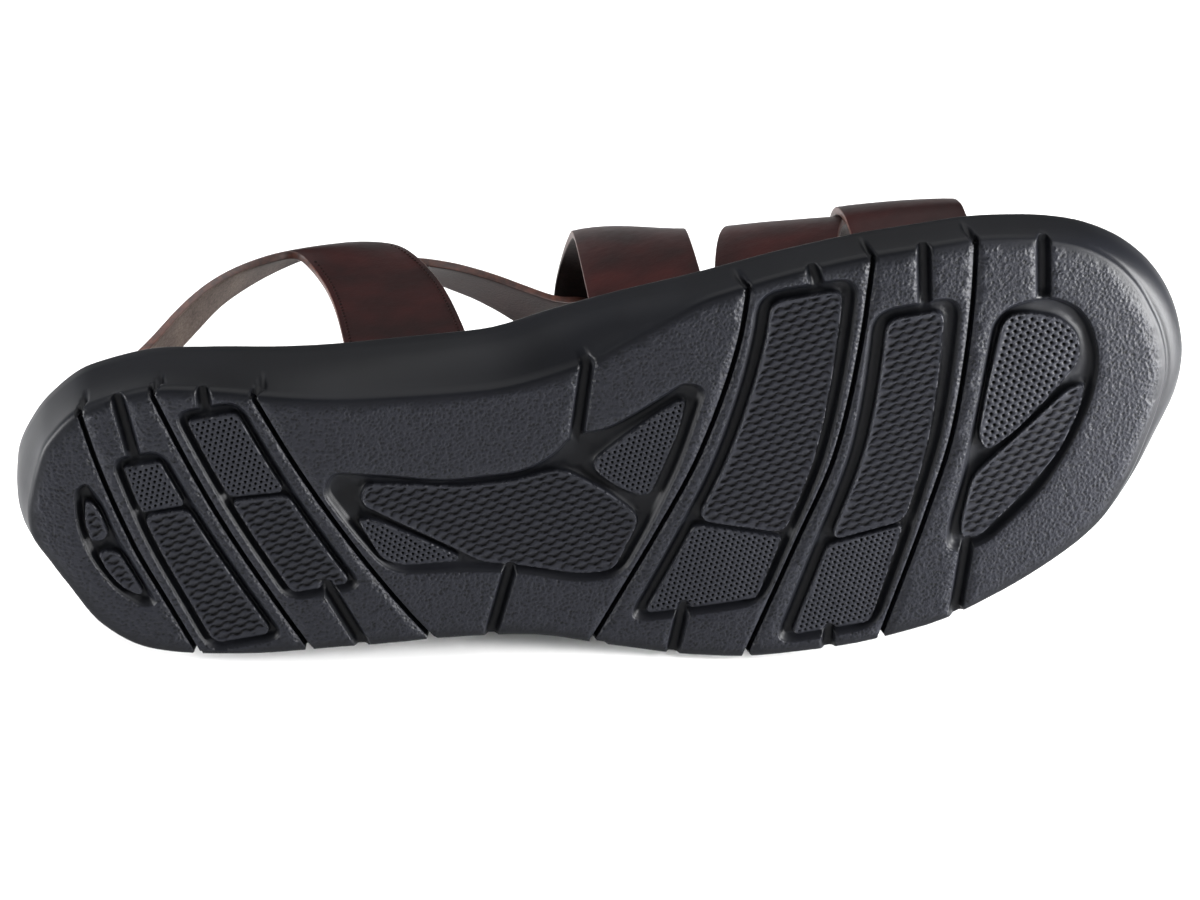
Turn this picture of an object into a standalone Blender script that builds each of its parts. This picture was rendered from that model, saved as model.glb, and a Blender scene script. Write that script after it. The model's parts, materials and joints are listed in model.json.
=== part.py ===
"""A left sandal, lying on its outer side: a moulded sole, a leather footbed and two sets of leather straps.

The sandal is made in its own frame, x from heel to toe, y towards the outer side and z up from
the ground, and then turned as one so that it lies on its outer side at rest.
"""

import math

import bmesh
import bpy
from mathutils import Matrix, Vector

MM = 0.001

# The last
LENGTH = 298.0 * MM
BALL_WIDTH = 112.0 * MM
INSTEP_HEIGHT = 100.0 * MM
ANKLE_HEIGHT = 98.0 * MM

# The sole
HEEL_THICKNESS = 26.0 * MM
FOREFOOT_THICKNESS = 13.4 * MM
TOE_SPRING = 8.0 * MM
ARCH_RISE = 2.5 * MM
RIM_WALL = 3.0 * MM
RIM_BEVEL = 0.8 * MM
CUP_DEPTH = 4.0 * MM
TREAD_BEVEL = 1.3 * MM

# The tread
SIPE_WIDTH = 1.5 * MM
SIPE_DEPTH = 3.0 * MM
RIDGE = 3.6 * MM
MOAT_WIDTH = 2.0 * MM
MOAT_DEPTH = 2.2 * MM
STEP_WIDTH = 1.5 * MM
CHANNEL_WIDTH = 3.4 * MM
CHANNEL_DEPTH = 2.6 * MM
POCKET_ROUNDING = 3.5 * MM
PAD_ROUNDING = 1.8 * MM

# The footbed
INSOLE_THICKNESS = 5.0 * MM
INSOLE_BEVEL = 1.0 * MM
HEEL_DISH = 2.0 * MM

# The straps
STRAP_THICKNESS = 2.2 * MM
TOE_STRAP_WIDTH = 29.0 * MM
BALL_STRAP_WIDTH = 31.0 * MM
INSTEP_STRAP_WIDTH = 28.5 * MM
QUARTER_WIDTH = 29.0 * MM
HEEL_STRAP_WIDTH = 15.0 * MM
QUARTER_LEAN = 4.0 * MM

CLEARANCE = 0.3 * MM
JOIN = 0.5 * MM  # how deep two straps that are sewn together sink into each other

STATIONS = 40  # sections from heel to toe
LEATHER_DENSITY = 900.0
SOLE_DENSITY = 620.0
FOOTBED_DENSITY = 350.0

# The rim seen from above: shares of the length, and of the ball width on each side of the axis.
# The insets are how far the tread's edge stays inside the rim.
OUTLINE = (
    # along, inner, outer, inner_inset, outer_inset
    (0.000, 0.071, -0.071, 0.030, 0.030),
    (0.008, 0.171, 0.009, 0.030, 0.030),
    (0.021, 0.226, 0.089, 0.020, 0.028),
    (0.044, 0.290, 0.205, 0.000, 0.020),
    (0.085, 0.347, 0.295, -0.012, 0.012),
    (0.134, 0.360, 0.337, -0.015, 0.012),
    (0.185, 0.341, 0.359, -0.008, 0.009),
    (0.252, 0.309, 0.377, 0.012, 0.008),
    (0.336, 0.284, 0.406, 0.036, 0.006),
    (0.410, 0.275, 0.440, 0.052, 0.004),
    (0.477, 0.309, 0.504, 0.066, 0.004),
    (0.544, 0.346, 0.558, 0.035, 0.004),
    (0.611, 0.373, 0.589, 0.002, 0.004),
    (0.678, 0.396, 0.598, 0.002, 0.004),
    (0.745, 0.405, 0.583, 0.002, 0.004),
    (0.812, 0.400, 0.534, 0.002, 0.005),
    (0.866, 0.378, 0.478, 0.004, 0.008),
    (0.913, 0.339, 0.411, 0.012, 0.016),
    (0.946, 0.286, 0.321, 0.024, 0.026),
    (0.973, 0.210, 0.214, 0.038, 0.038),
    (0.990, 0.125, 0.138, 0.048, 0.048),
    (1.000, -0.018, 0.018, 0.050, 0.050),
)

# The side view: how far the thickness has gone from the heel's to the forefoot's, and shares of
# the arch's rise and of the toe spring under the tread.
SIDE = (
    # along, thinning, arch, spring
    (0.000, 0.00, 0.00, 0.10),
    (0.050, 0.00, 0.00, 0.00),
    (0.265, 0.05, 0.00, 0.00),
    (0.340, 0.16, 0.70, 0.00),
    (0.410, 0.32, 1.00, 0.00),
    (0.480, 0.52, 0.85, 0.00),
    (0.545, 0.72, 0.30, 0.00),
    (0.590, 0.84, 0.00, 0.00),
    (0.680, 0.98, 0.00, 0.00),
    (0.765, 1.00, 0.00, 0.00),
    (0.860, 1.01, 0.00, 0.24),
    (0.910, 1.05, 0.00, 0.46),
    (0.960, 1.12, 0.00, 0.74),
    (1.000, 1.20, 0.00, 1.00),
)

# The last over the footbed: the height of its crown as a share of the instep height, how far the
# crown leans to the inner side as a share of the ball width, and how full its sides are.
LAST = (
    # along, crown, lean, fullness
    (0.38, 1.05, 0.05, 2.3),
    (0.50, 1.01, 0.06, 2.4),
    (0.60, 0.79, 0.06, 2.5),
    (0.70, 0.61, 0.05, 2.6),
    (0.84, 0.455, 0.03, 2.8),
)

# Straps that cross the foot: the middle of each at its inner end, its inner shoulder, its crown and its
# outer end, and how many strap thicknesses it lies above the last where it passes over another.
CROSS_STRAPS = {
    # width, inner_end, shoulder, crown, outer_end, layers
    "ball_strap": (BALL_STRAP_WIDTH, 0.665, 0.695, 0.735, 0.782, 0.0),
    "toe_strap": (TOE_STRAP_WIDTH, 0.782, 0.770, 0.720, 0.628, 1.0),
    "instep_strap": (INSTEP_STRAP_WIDTH, 0.556, 0.549, 0.507, 0.440, 0.0),
}

# The quarters that stand up beside the ankle: the middle and the width at each height, as shares of the
# length, of the quarter's own width and of the ankle height above the footbed.
QUARTERS = {
    "inner": (
        # rise, middle, width
        (0.00, 0.3450, 1.00),
        (0.35, 0.3390, 1.00),
        (0.60, 0.3290, 1.00),
        (0.78, 0.3160, 0.98),
        (0.88, 0.3060, 0.92),
    ),
    "outer": (
        (0.00, 0.3550, 1.00),
        (0.35, 0.3500, 0.98),
        (0.60, 0.3440, 0.96),
        (0.78, 0.3380, 0.96),
        (0.88, 0.3330, 0.94),
    ),
}

# The collar: one strap from the outer quarter round the heel to the inner quarter, and on over the
# instep to the instep strap. Its middle line as shares of the length, the ball width and the ankle
# height, and how far its face leans back from upright, in degrees.
COLLAR = (
    # along, outer, height, lean
    (0.368, 0.347, 0.860, 0),
    (0.325, 0.335, 0.890, 4),
    (0.260, 0.320, 0.850, 18),
    (0.180, 0.280, 0.710, 34),
    (0.110, 0.205, 0.610, 36),
    (0.062, 0.105, 0.560, 28),
    (0.042, -0.020, 0.550, 24),
    (0.056, -0.105, 0.550, 30),
    (0.094, -0.155, 0.565, 40),
    (0.137, -0.194, 0.626, 52),
    (0.174, -0.238, 0.727, 54),
    (0.202, -0.250, 0.812, 48),
    (0.236, -0.254, 0.882, 30),
    (0.266, -0.246, 0.912, 14),
    (0.298, -0.237, 0.926, 8),
    (0.330, -0.206, 0.930, 14),
    (0.367, -0.153, 0.928, 36),
    (0.392, -0.112, 0.930, 46),
    (0.418, -0.067, 0.934, 50),
    (0.436, -0.029, 0.939, 54),
    (0.462, 0.030, 0.948, 64),
    (0.494, 0.090, 0.938, 78),
    (0.522, 0.132, 0.930, 78),
)
TUCKED = 2  # the collar's last rows, which lie right under the instep strap whatever their height says

# The thin cuts that part the tread into blocks: places as (inner side, along).
SIPES = {
    "heel_back": ((0.397, 0.086), (0.345, 0.076), (0.223, 0.080), (-0.004, 0.094), (-0.161, 0.110), (-0.321, 0.127)),
    "heel_middle": ((0.397, 0.153), (0.336, 0.140), (0.196, 0.152), (0.013, 0.171), (-0.211, 0.200), (-0.372, 0.223)),
    "heel_front": ((0.384, 0.235), (0.313, 0.219), (0.134, 0.240), (-0.071, 0.269), (-0.304, 0.308), (-0.410, 0.329)),
    "ball_back": ((0.424, 0.629), (0.366, 0.637), (0.250, 0.624), (-0.018, 0.577), (-0.223, 0.527), (-0.480, 0.458)),
    "ball_middle": ((0.442, 0.733), (0.366, 0.740), (0.205, 0.725), (-0.071, 0.691), (-0.304, 0.644), (-0.567, 0.589)),
    "ball_front": ((0.438, 0.822), (0.390, 0.829), (0.241, 0.820), (-0.063, 0.792), (-0.268, 0.761), (-0.570, 0.709)),
}

# The pockets between two cuts: their inner and outer ends and the place of the step between their
# two pads as shares of the ball width, and the ridges left beside the cuts as shares of RIDGE.
POCKETS = {
    # before, after, inner_end, outer_end, step, step_slope, before_inner, before_outer, after_inner, after_outer
    "heel_pocket": ("heel_back", "heel_middle", 0.219, -0.312, 0.068, 0.000, 1.10, 0.90, 1.20, 1.10),
    "waist_pocket": ("heel_middle", "heel_front", 0.308, -0.215, 0.064, -0.010, 0.85, 0.95, 1.10, 1.40),
    "ball_pocket": ("ball_back", "ball_middle", 0.361, -0.437, -0.232, -0.070, 1.20, 2.30, 0.90, 0.55),
    "tip_pocket": ("ball_middle", "ball_front", 0.268, -0.553, -0.298, 0.020, 0.90, 2.30, 0.90, 0.65),
}

# The pockets of the heel's back, the arch and the toe, and the pads in them: corners as (along, inner side).
SHAPED_POCKETS = {
    "heel_crescent": (
        ((0.068, 0.170), (0.077, 0.107), (0.080, 0.036), (0.090, -0.062), (0.101, -0.166),
         (0.090, -0.165), (0.072, -0.116), (0.057, -0.018), (0.053, 0.071), (0.058, 0.156)),
        (
            ((0.065, 0.134), (0.073, 0.089), (0.076, 0.027), (0.061, 0.018), (0.059, 0.071)),
            ((0.063, -0.009), (0.079, -0.013), (0.087, -0.080), (0.094, -0.143), (0.077, -0.112), (0.067, -0.054)),
        ),
    ),
    "arch_pocket": (
        ((0.260, 0.045), (0.270, 0.089), (0.308, 0.058), (0.359, 0.009), (0.426, -0.004), (0.456, 0.027),
         (0.473, 0.071), (0.503, 0.071), (0.543, 0.121), (0.573, 0.165), (0.589, 0.143), (0.557, -0.045),
         (0.523, -0.196), (0.493, -0.312), (0.456, -0.308), (0.412, -0.259), (0.365, -0.228), (0.302, -0.196),
         (0.278, -0.071)),
        (
            ((0.295, 0.045), (0.332, 0.018), (0.376, -0.013), (0.419, -0.022), (0.459, -0.009), (0.493, -0.085),
             (0.518, -0.165), (0.488, -0.295), (0.456, -0.286), (0.412, -0.241), (0.379, -0.214), (0.355, -0.156),
             (0.325, -0.089), (0.288, 0.000)),
            ((0.283, -0.040), (0.295, -0.049), (0.329, -0.121), (0.365, -0.201), (0.315, -0.183), (0.297, -0.155)),
            ((0.483, -0.013), (0.510, 0.036), (0.543, 0.089), (0.573, 0.129), (0.560, 0.036), (0.528, -0.116),
             (0.503, -0.076)),
        ),
    ),
    "toe_pocket": (
        ((0.835, 0.188), (0.852, 0.232), (0.886, 0.237), (0.906, 0.179), (0.917, 0.116), (0.921, 0.027),
         (0.912, -0.062), (0.892, -0.161), (0.862, -0.268), (0.832, -0.330), (0.805, -0.384), (0.775, -0.384),
         (0.777, -0.321), (0.795, -0.196), (0.815, -0.018)),
        (
            ((0.842, 0.180), (0.850, 0.208), (0.865, 0.205), (0.892, 0.165), (0.906, 0.098), (0.906, 0.040),
             (0.886, -0.013), (0.845, -0.103), (0.817, -0.143), (0.812, -0.098), (0.824, 0.018)),
            ((0.803, -0.201), (0.822, -0.165), (0.862, -0.089), (0.892, -0.031), (0.908, -0.027), (0.900, -0.089),
             (0.880, -0.180), (0.852, -0.255), (0.825, -0.312), (0.803, -0.358), (0.787, -0.358), (0.789, -0.312)),
        ),
    ),
}

# The channels that lead from the pockets to the tread's edge: each end as (along, inner side).
CHANNELS = {
    "heel_inlet": ((0.109, 0.411), (0.112, 0.205)),
    "waist_inlet": ((0.181, 0.411), (0.178, 0.295)),
    "waist_outlet": ((0.246, -0.196), (0.273, -0.430)),
    "arch_inlet": ((0.505, 0.330), (0.476, 0.058)),
    "arch_outlet": ((0.402, -0.245), (0.367, -0.460)),
    "ball_inlet": ((0.689, 0.446), (0.694, 0.348)),
    "ball_outlet": ((0.543, -0.415), (0.520, -0.590)),
    "tip_inlet": ((0.787, 0.455), (0.780, 0.255)),
    "tip_outlet": ((0.664, -0.540), (0.656, -0.650)),
    "toe_inlet": ((0.886, 0.438), (0.894, 0.222)),
    "toe_outlet": ((0.792, -0.370), (0.768, -0.616)),
}


def blend(places, values, at):
    """A smooth curve through the values that never swings past them."""
    last = len(places) - 1
    steps = [places[i + 1] - places[i] for i in range(last)]
    rates = [(values[i + 1] - values[i]) / steps[i] for i in range(last)]

    def slope(i):
        if i in (0, last):
            return rates[0] if i == 0 else rates[-1]
        before, after = rates[i - 1], rates[i]
        return 0.0 if before * after <= 0 else 2 * before * after / (before + after)

    at = min(max(at, places[0]), places[-1])
    i = max(k for k in range(last) if places[k] <= at)
    t = (at - places[i]) / steps[i]
    return (
        values[i] * (1 + 2 * t) * (1 - t) ** 2
        + slope(i) * steps[i] * t * (1 - t) ** 2
        + values[i + 1] * t * t * (3 - 2 * t)
        + slope(i + 1) * steps[i] * t * t * (t - 1)
    )


def column(table, number, along):
    return blend([row[0] for row in table], [row[number] for row in table], along)


def ends_angle(along):
    """Turns a share of the length into an angle, so that heel and toe come out round."""
    return math.acos(1 - 2 * min(max(along, 0.0), 1.0))


def outline(number, along):
    """One column of the outline's table at a share of the length."""
    places = [ends_angle(row[0]) for row in OUTLINE]
    return blend(places, [row[number] for row in OUTLINE], ends_angle(along))


def tread_height(x):
    along = x / LENGTH
    return ARCH_RISE * column(SIDE, 2, along) + TOE_SPRING * column(SIDE, 3, along)


def rim_height(x):
    thinning = column(SIDE, 1, x / LENGTH)
    return tread_height(x) + HEEL_THICKNESS + (FOREFOOT_THICKNESS - HEEL_THICKNESS) * thinning


def rim_y(side, x):
    """Where the rim runs on the inner (-1) or the outer (+1) side."""
    return side * BALL_WIDTH * outline(1 if side < 0 else 2, x / LENGTH)


def edge_loop(inset):
    """The rim moved inward by inset(station, side), as two lists of (x, y) from heel to toe."""
    alongs = [(1 - math.cos(math.pi * i / STATIONS)) / 2 for i in range(STATIONS + 1)]
    sides = {side: [(LENGTH * a, rim_y(side, LENGTH * a)) for a in alongs] for side in (-1, 1)}
    loop = [(-1, i) for i in range(STATIONS + 1)] + [(1, i) for i in range(STATIONS - 1, 0, -1)]
    moved = {-1: [None] * (STATIONS + 1), 1: [None] * (STATIONS + 1)}
    for k, (side, i) in enumerate(loop):
        before_side, before = loop[k - 1]
        after_side, after = loop[(k + 1) % len(loop)]
        x0, y0 = sides[before_side][before]
        x1, y1 = sides[after_side][after]
        size = math.hypot(x1 - x0, y1 - y0)
        depth = inset(alongs[i], side)
        x, y = sides[side][i]
        moved[side][i] = (x - depth * (y1 - y0) / size, y + depth * (x1 - x0) / size)
    for end in (0, STATIONS):
        moved[1][end] = moved[-1][end]
    return moved[-1], moved[1]


def tread_inset(along, side):
    return BALL_WIDTH * outline(3 if side < 0 else 4, along)


def new_mesh_object(name, bm):
    mesh = bpy.data.meshes.new(name)
    bm.to_mesh(mesh)
    bm.free()
    return bpy.data.objects.new(name, mesh)


def loft(name, rings):
    """A closed body through rings of points, the first and the last of them pinched shut."""
    bm = bmesh.new()
    rows = [[bm.verts.new(point) for point in ring] for ring in rings]
    count = len(rings[0])
    for row, after in zip(rows, rows[1:]):
        for k in range(count):
            bm.faces.new((row[k], row[(k + 1) % count], after[(k + 1) % count], after[k]))
    bmesh.ops.remove_doubles(bm, verts=bm.verts, dist=1e-6)
    bmesh.ops.dissolve_degenerate(bm, edges=bm.edges, dist=1e-6)
    bmesh.ops.recalc_face_normals(bm, faces=bm.faces)
    return new_mesh_object(name, bm)


def across(inner, outer, shares):
    """Points between an inner and an outer place, at shares of the way."""
    return [(inner[0] + (outer[0] - inner[0]) * s, inner[1] + (outer[1] - inner[1]) * s) for s in shares]


def sole_blank():
    """The moulded sole before its tread is cut: a cup for the footbed, side walls and a flat tread."""
    levels = (
        # share of the tread's inset, further inset, share of the wall's height, further height
        (0.0, RIM_WALL, 1.0, -CUP_DEPTH),
        (0.0, RIM_WALL, 1.0, 0.0),
        (0.0, RIM_BEVEL, 1.0, 0.0),
        (0.0, 0.0, 1.0, -RIM_BEVEL),
        (0.1, 0.0, 0.55, 0.0),
        (0.6, 0.0, 0.25, 0.0),
        (1.0, 0.0, 0.0, TREAD_BEVEL),
        (1.0, TREAD_BEVEL, 0.0, 0.0),
    )
    edges = [
        edge_loop(lambda along, side, level=level: level[0] * tread_inset(along, side) + level[1])
        for level in levels
    ]

    def height(x, level):
        low, high = tread_height(x), rim_height(x)
        return low + (high - low) * level[2] + level[3]

    between = (0.2, 0.4, 0.6, 0.8)
    rings = []
    for i in range(STATIONS + 1):
        ring = [(x, y, height(x, levels[k])) for k, (x, y) in enumerate(loop[0][i] for loop in edges)]
        ring += [(x, y, tread_height(x)) for x, y in across(edges[-1][0][i], edges[-1][1][i], between)]
        outer = [(x, y, height(x, levels[k])) for k, (x, y) in enumerate(loop[1][i] for loop in edges)]
        ring += outer[::-1]
        floor = across(edges[0][1][i], edges[0][0][i], between)
        ring += [(x, y, height(x, levels[0])) for x, y in floor]
        rings.append(ring)
    return loft("sole", rings)


def place(along, inner):
    """A place on the tread, from a share of the length and a share of the ball width to the inner side."""
    return LENGTH * along, -BALL_WIDTH * inner


def sipe_x(name, y):
    """How far forward a cut is where it passes y, running straight on past its ends."""
    rows = SIPES[name][::-1]
    inner = [row[0] for row in rows]
    along = [row[1] for row in rows]
    at = -y / BALL_WIDTH
    if at > inner[-1]:
        return LENGTH * (along[-1] + (at - inner[-1]) * (along[-1] - along[-2]) / (inner[-1] - inner[-2]))
    if at < inner[0]:
        return LENGTH * (along[0] + (at - inner[0]) * (along[1] - along[0]) / (inner[1] - inner[0]))
    return LENGTH * blend(inner, along, at)


def rounded(corners, radius, steps=3):
    """A closed outline with each corner replaced by an arc-like curve."""
    points = []
    count = len(corners)
    for k in range(count):
        before, corner, after = (Vector(corners[(k + d) % count]) for d in (-1, 0, 1))
        reach = min(radius, 0.4 * (before - corner).length, 0.4 * (after - corner).length)
        start = corner + (before - corner).normalized() * reach
        end = corner + (after - corner).normalized() * reach
        bend = (before - corner).angle(after - corner, math.pi)
        if bend > math.radians(160):
            points.append(tuple(corner))
            continue
        for s in range(steps + 1):
            t = s / steps
            point = start * (1 - t) ** 2 + corner * 2 * t * (1 - t) + end * t * t
            points.append(tuple(point))
    return points


def ribbon(points, width):
    """The outline of a cut of even width along a line of places."""
    left, right = [], []
    for k, point in enumerate(points):
        a = Vector(points[max(k - 1, 0)])
        b = Vector(points[min(k + 1, len(points) - 1)])
        run = (b - a).normalized()
        aside = Vector((-run.y, run.x)) * width / 2
        left.append(tuple(Vector(point) + aside))
        right.append(tuple(Vector(point) - aside))
    return left + right[::-1]


def cutter(name, loops, depth):
    """A cutter with the outlines' shape, holes included, whose floor lies at one depth above the tread."""
    curve = bpy.data.curves.new(name, "CURVE")
    curve.dimensions = "2D"
    curve.fill_mode = "BOTH"
    curve.extrude = 1 * MM
    for loop in loops:
        spline = curve.splines.new("POLY")
        spline.points.add(len(loop) - 1)
        for point, (x, y) in zip(spline.points, loop):
            point.co = (x, y, 0, 1)
        spline.use_cyclic_u = True
    outline_object = bpy.data.objects.new(name + "_outline", curve)
    bpy.context.scene.collection.objects.link(outline_object)
    bpy.context.view_layer.update()
    evaluated = outline_object.evaluated_get(bpy.context.evaluated_depsgraph_get())
    mesh = bpy.data.meshes.new_from_object(evaluated)
    bpy.data.objects.remove(outline_object)
    bm = bmesh.new()
    bm.from_mesh(mesh)
    bmesh.ops.remove_doubles(bm, verts=bm.verts, dist=1e-5)
    for vert in bm.verts:
        ground = tread_height(vert.co.x)
        vert.co.z = ground + depth if vert.co.z > 0 else ground - 4 * MM
    bmesh.ops.triangulate(bm, faces=bm.faces)
    bmesh.ops.recalc_face_normals(bm, faces=bm.faces)
    return new_mesh_object(name, bm)


def sipe_cutter(name):
    """A thin cut right across the tread and out over both of its edges."""
    rows = SIPES[name]
    inner_end = -BALL_WIDTH * (rows[0][0] + 0.03)
    outer_end = -BALL_WIDTH * (rows[-1][0] - 0.04)
    count = 12
    ys = [inner_end + (outer_end - inner_end) * k / count for k in range(count + 1)]
    return cutter(name + "_sipe", [ribbon([(sipe_x(name, y), y) for y in ys], SIPE_WIDTH)], SIPE_DEPTH)


def pocket_walls(row, inset, inner_end, outer_end):
    """The corners of a pocket or a pad between two cuts, between two levels across the tread."""
    before, after, top, bottom = row[0], row[1], row[2], row[3]
    before_inner, before_outer, after_inner, after_outer = row[6:10]
    count = 5
    back, front = [], []
    for k in range(count + 1):
        share = k / count
        for side, ends in ((back, inner_end[0:2]), (front, inner_end[2:4])):
            low = outer_end[0:2] if side is back else outer_end[2:4]
            y = -BALL_WIDTH * (ends[0] + (low[0] - ends[0]) * share) + ends[1] + (low[1] - ends[1]) * share
            down = (top + y / BALL_WIDTH) / (top - bottom)
            if side is back:
                ridge = RIDGE * (before_inner + (before_outer - before_inner) * down)
                side.append((sipe_x(before, y) + ridge + inset, y))
            else:
                ridge = RIDGE * (after_inner + (after_outer - after_inner) * down)
                side.append((sipe_x(after, y) - ridge - inset, y))
    return back + front[::-1]


def pocket_cutter(name):
    """A pocket with its two pads left standing, the step between them cut along its slope."""
    row = POCKETS[name]
    top, bottom, step, slope = row[2:6]
    back_step, front_step = step - slope / 2, step + slope / 2
    whole = pocket_walls(row, 0.0, (top, 0, top, 0), (bottom, 0, bottom, 0))
    half = STEP_WIDTH / 2
    inner_pad = pocket_walls(
        row, MOAT_WIDTH, (top, MOAT_WIDTH, top, MOAT_WIDTH), (back_step, -half, front_step, -half)
    )
    outer_pad = pocket_walls(
        row, MOAT_WIDTH, (back_step, half, front_step, half), (bottom, -MOAT_WIDTH, bottom, -MOAT_WIDTH)
    )
    loops = [rounded(whole, POCKET_ROUNDING), rounded(inner_pad, PAD_ROUNDING), rounded(outer_pad, PAD_ROUNDING)]
    return cutter(name, loops, MOAT_DEPTH)


def shaped_pocket_cutter(name):
    corners, pads = SHAPED_POCKETS[name]
    loops = [rounded([place(*corner) for corner in corners], POCKET_ROUNDING, 2)]
    loops += [rounded([place(*corner) for corner in pad], PAD_ROUNDING, 2) for pad in pads]
    return cutter(name, loops, MOAT_DEPTH)


def channel_cutter(name):
    start, end = (place(*point) for point in CHANNELS[name])
    middle = ((start[0] + end[0]) / 2, (start[1] + end[1]) / 2)
    return cutter(name, [ribbon([start, middle, end], CHANNEL_WIDTH)], CHANNEL_DEPTH)


def insole_blank():
    """The footbed: it fills the sole's cup, stands a little above the rim and is dished at the heel."""
    gap = RIM_WALL + CLEARANCE
    levels = (
        # inset, height above the footbed's underside
        (gap, 0.0),
        (gap, INSOLE_THICKNESS - INSOLE_BEVEL),
        (gap + INSOLE_BEVEL, INSOLE_THICKNESS),
    )
    edges = [edge_loop(lambda along, side, level=level: level[0]) for level in levels]

    def underside(x):
        return rim_height(x) - CUP_DEPTH + CLEARANCE

    def dish(x, share):
        back = max(0.0, 1 - x / LENGTH / 0.5)
        return HEEL_DISH * min(1.0, 2 * back) * (1 - (2 * share - 1) ** 2)

    between = (0.2, 0.4, 0.6, 0.8)
    rings = []
    for i in range(STATIONS + 1):
        inner = [(x, y, underside(x) + levels[k][1]) for k, (x, y) in enumerate(loop[0][i] for loop in edges)]
        outer = [(x, y, underside(x) + levels[k][1]) for k, (x, y) in enumerate(loop[1][i] for loop in edges)]
        top = across(edges[-1][0][i], edges[-1][1][i], between)
        top = [(x, y, underside(x) + INSOLE_THICKNESS - dish(x, s)) for (x, y), s in zip(top, between)]
        under = [(x, y, underside(x)) for x, y in across(edges[0][1][i], edges[0][0][i], between)]
        rings.append(inner + top + outer[::-1] + under)
    return loft("insole", rings)


def power(value, exponent):
    return math.copysign(abs(value) ** exponent, value)


def seat_height(x):
    """Where the straps end in the cup, just above its floor."""
    return rim_height(x) - CUP_DEPTH + CLEARANCE


SEAT_LINES = edge_loop(lambda along, side: RIM_WALL + CLEARANCE + STRAP_THICKNESS)


def seat_y(side, x):
    """The inner face of a strap where it stands in the cup against the rim's wall."""
    line = SEAT_LINES[0 if side < 0 else 1]
    (x0, y0), (x1, y1) = next(pair for pair in zip(line, line[1:]) if pair[1][0] >= x or pair[1] == line[-1])
    return y0 + (y1 - y0) * (x - x0) / (x1 - x0)


def last_point(x, turn, above):
    """A point of the last at x: turn goes from 0 at the inner seat over the crown to 1 at the outer seat."""
    along = x / LENGTH
    inner, outer, low = seat_y(-1, x), seat_y(1, x), seat_height(x)
    crown = INSTEP_HEIGHT * column(LAST, 1, along) - STRAP_THICKNESS
    lean = BALL_WIDTH * column(LAST, 2, along)
    exponent = 2 / column(LAST, 3, along)
    angle = math.pi * turn
    raised = above * min(1.0, max(0.0, 6 * math.sin(angle) - 0.35))
    half = (outer - inner) / 2 + raised
    y = (outer + inner) / 2 - half * power(math.cos(angle), exponent) - lean * math.sin(angle) ** 2
    z = low + (crown - low + raised) * power(math.sin(angle), exponent)
    return Vector((x, y, z))


def last_height(x, y):
    """How high the last is over a place of the footbed."""
    low, high = 0.0, 1.0
    for _ in range(30):
        middle = (low + high) / 2
        low, high = (middle, high) if last_point(x, middle, 0.0).y < y else (low, middle)
    return last_point(x, low, 0.0).z


def sheet(name, rows, outward):
    """A strap: an open surface through rows of points, given its thickness on the outer side."""
    bm = bmesh.new()
    verts = [[bm.verts.new(point) for point in row] for row in rows]
    for row, after in zip(verts, verts[1:]):
        for k in range(len(row) - 1):
            corners = (row[k], row[k + 1], after[k + 1], after[k])
            bm.faces.new(corners if outward > 0 else corners[::-1])
    obj = new_mesh_object(name, bm)
    wall = obj.modifiers.new("leather", "SOLIDIFY")
    wall.thickness = STRAP_THICKNESS
    wall.offset = 1
    return obj


def lowered(row):
    """A row of a slot's cutter below the strap's end, so that the slot opens under the footbed."""
    return [point - Vector((0, 0, 2 * CLEARANCE)) for point in row]


def cross_strap(name, grow=0.0):
    """A strap over the foot, from seat to seat."""
    width, inner, shoulder, crown, outer, layers = CROSS_STRAPS[name]
    count, columns = 30, 4
    above = layers * (STRAP_THICKNESS - JOIN)
    rows = []
    for i in range(count + 1):
        turn = i / count
        middle = LENGTH * blend((0.0, 0.3, 0.6, 1.0), (inner, shoulder, crown, outer), turn)
        xs = [middle + (width + 2 * grow) * (k / columns - 0.5) for k in range(columns + 1)]
        rows.append([last_point(x, turn, above) for x in xs])
    if grow:
        rows = [lowered(rows[0]), *rows, lowered(rows[-1])]
    return sheet(name, rows, 1)


def quarter_point(side, x, rise):
    low = seat_height(x)
    y = seat_y(side, x) - side * QUARTER_LEAN * rise**2
    return Vector((x, y, low + (ANKLE_HEIGHT - low) * rise))


def quarter(name, grow=0.0):
    """One of the two quarters, a tab that stands up beside the ankle."""
    side = -1 if name == "inner" else 1
    table = QUARTERS[name]
    count, columns = 12, 4
    rows = []
    for i in range(count + 1):
        rise = table[-1][0] * i / count
        middle = LENGTH * column(table, 1, rise)
        width = QUARTER_WIDTH * column(table, 2, rise) + 2 * grow
        xs = [middle + width * (k / columns - 0.5) for k in range(columns + 1)]
        rows.append([quarter_point(side, x, rise) for x in xs])
    if grow:
        rows = [lowered(rows[0]), *rows]
    return sheet(name + "_quarter", rows, -side)


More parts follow.
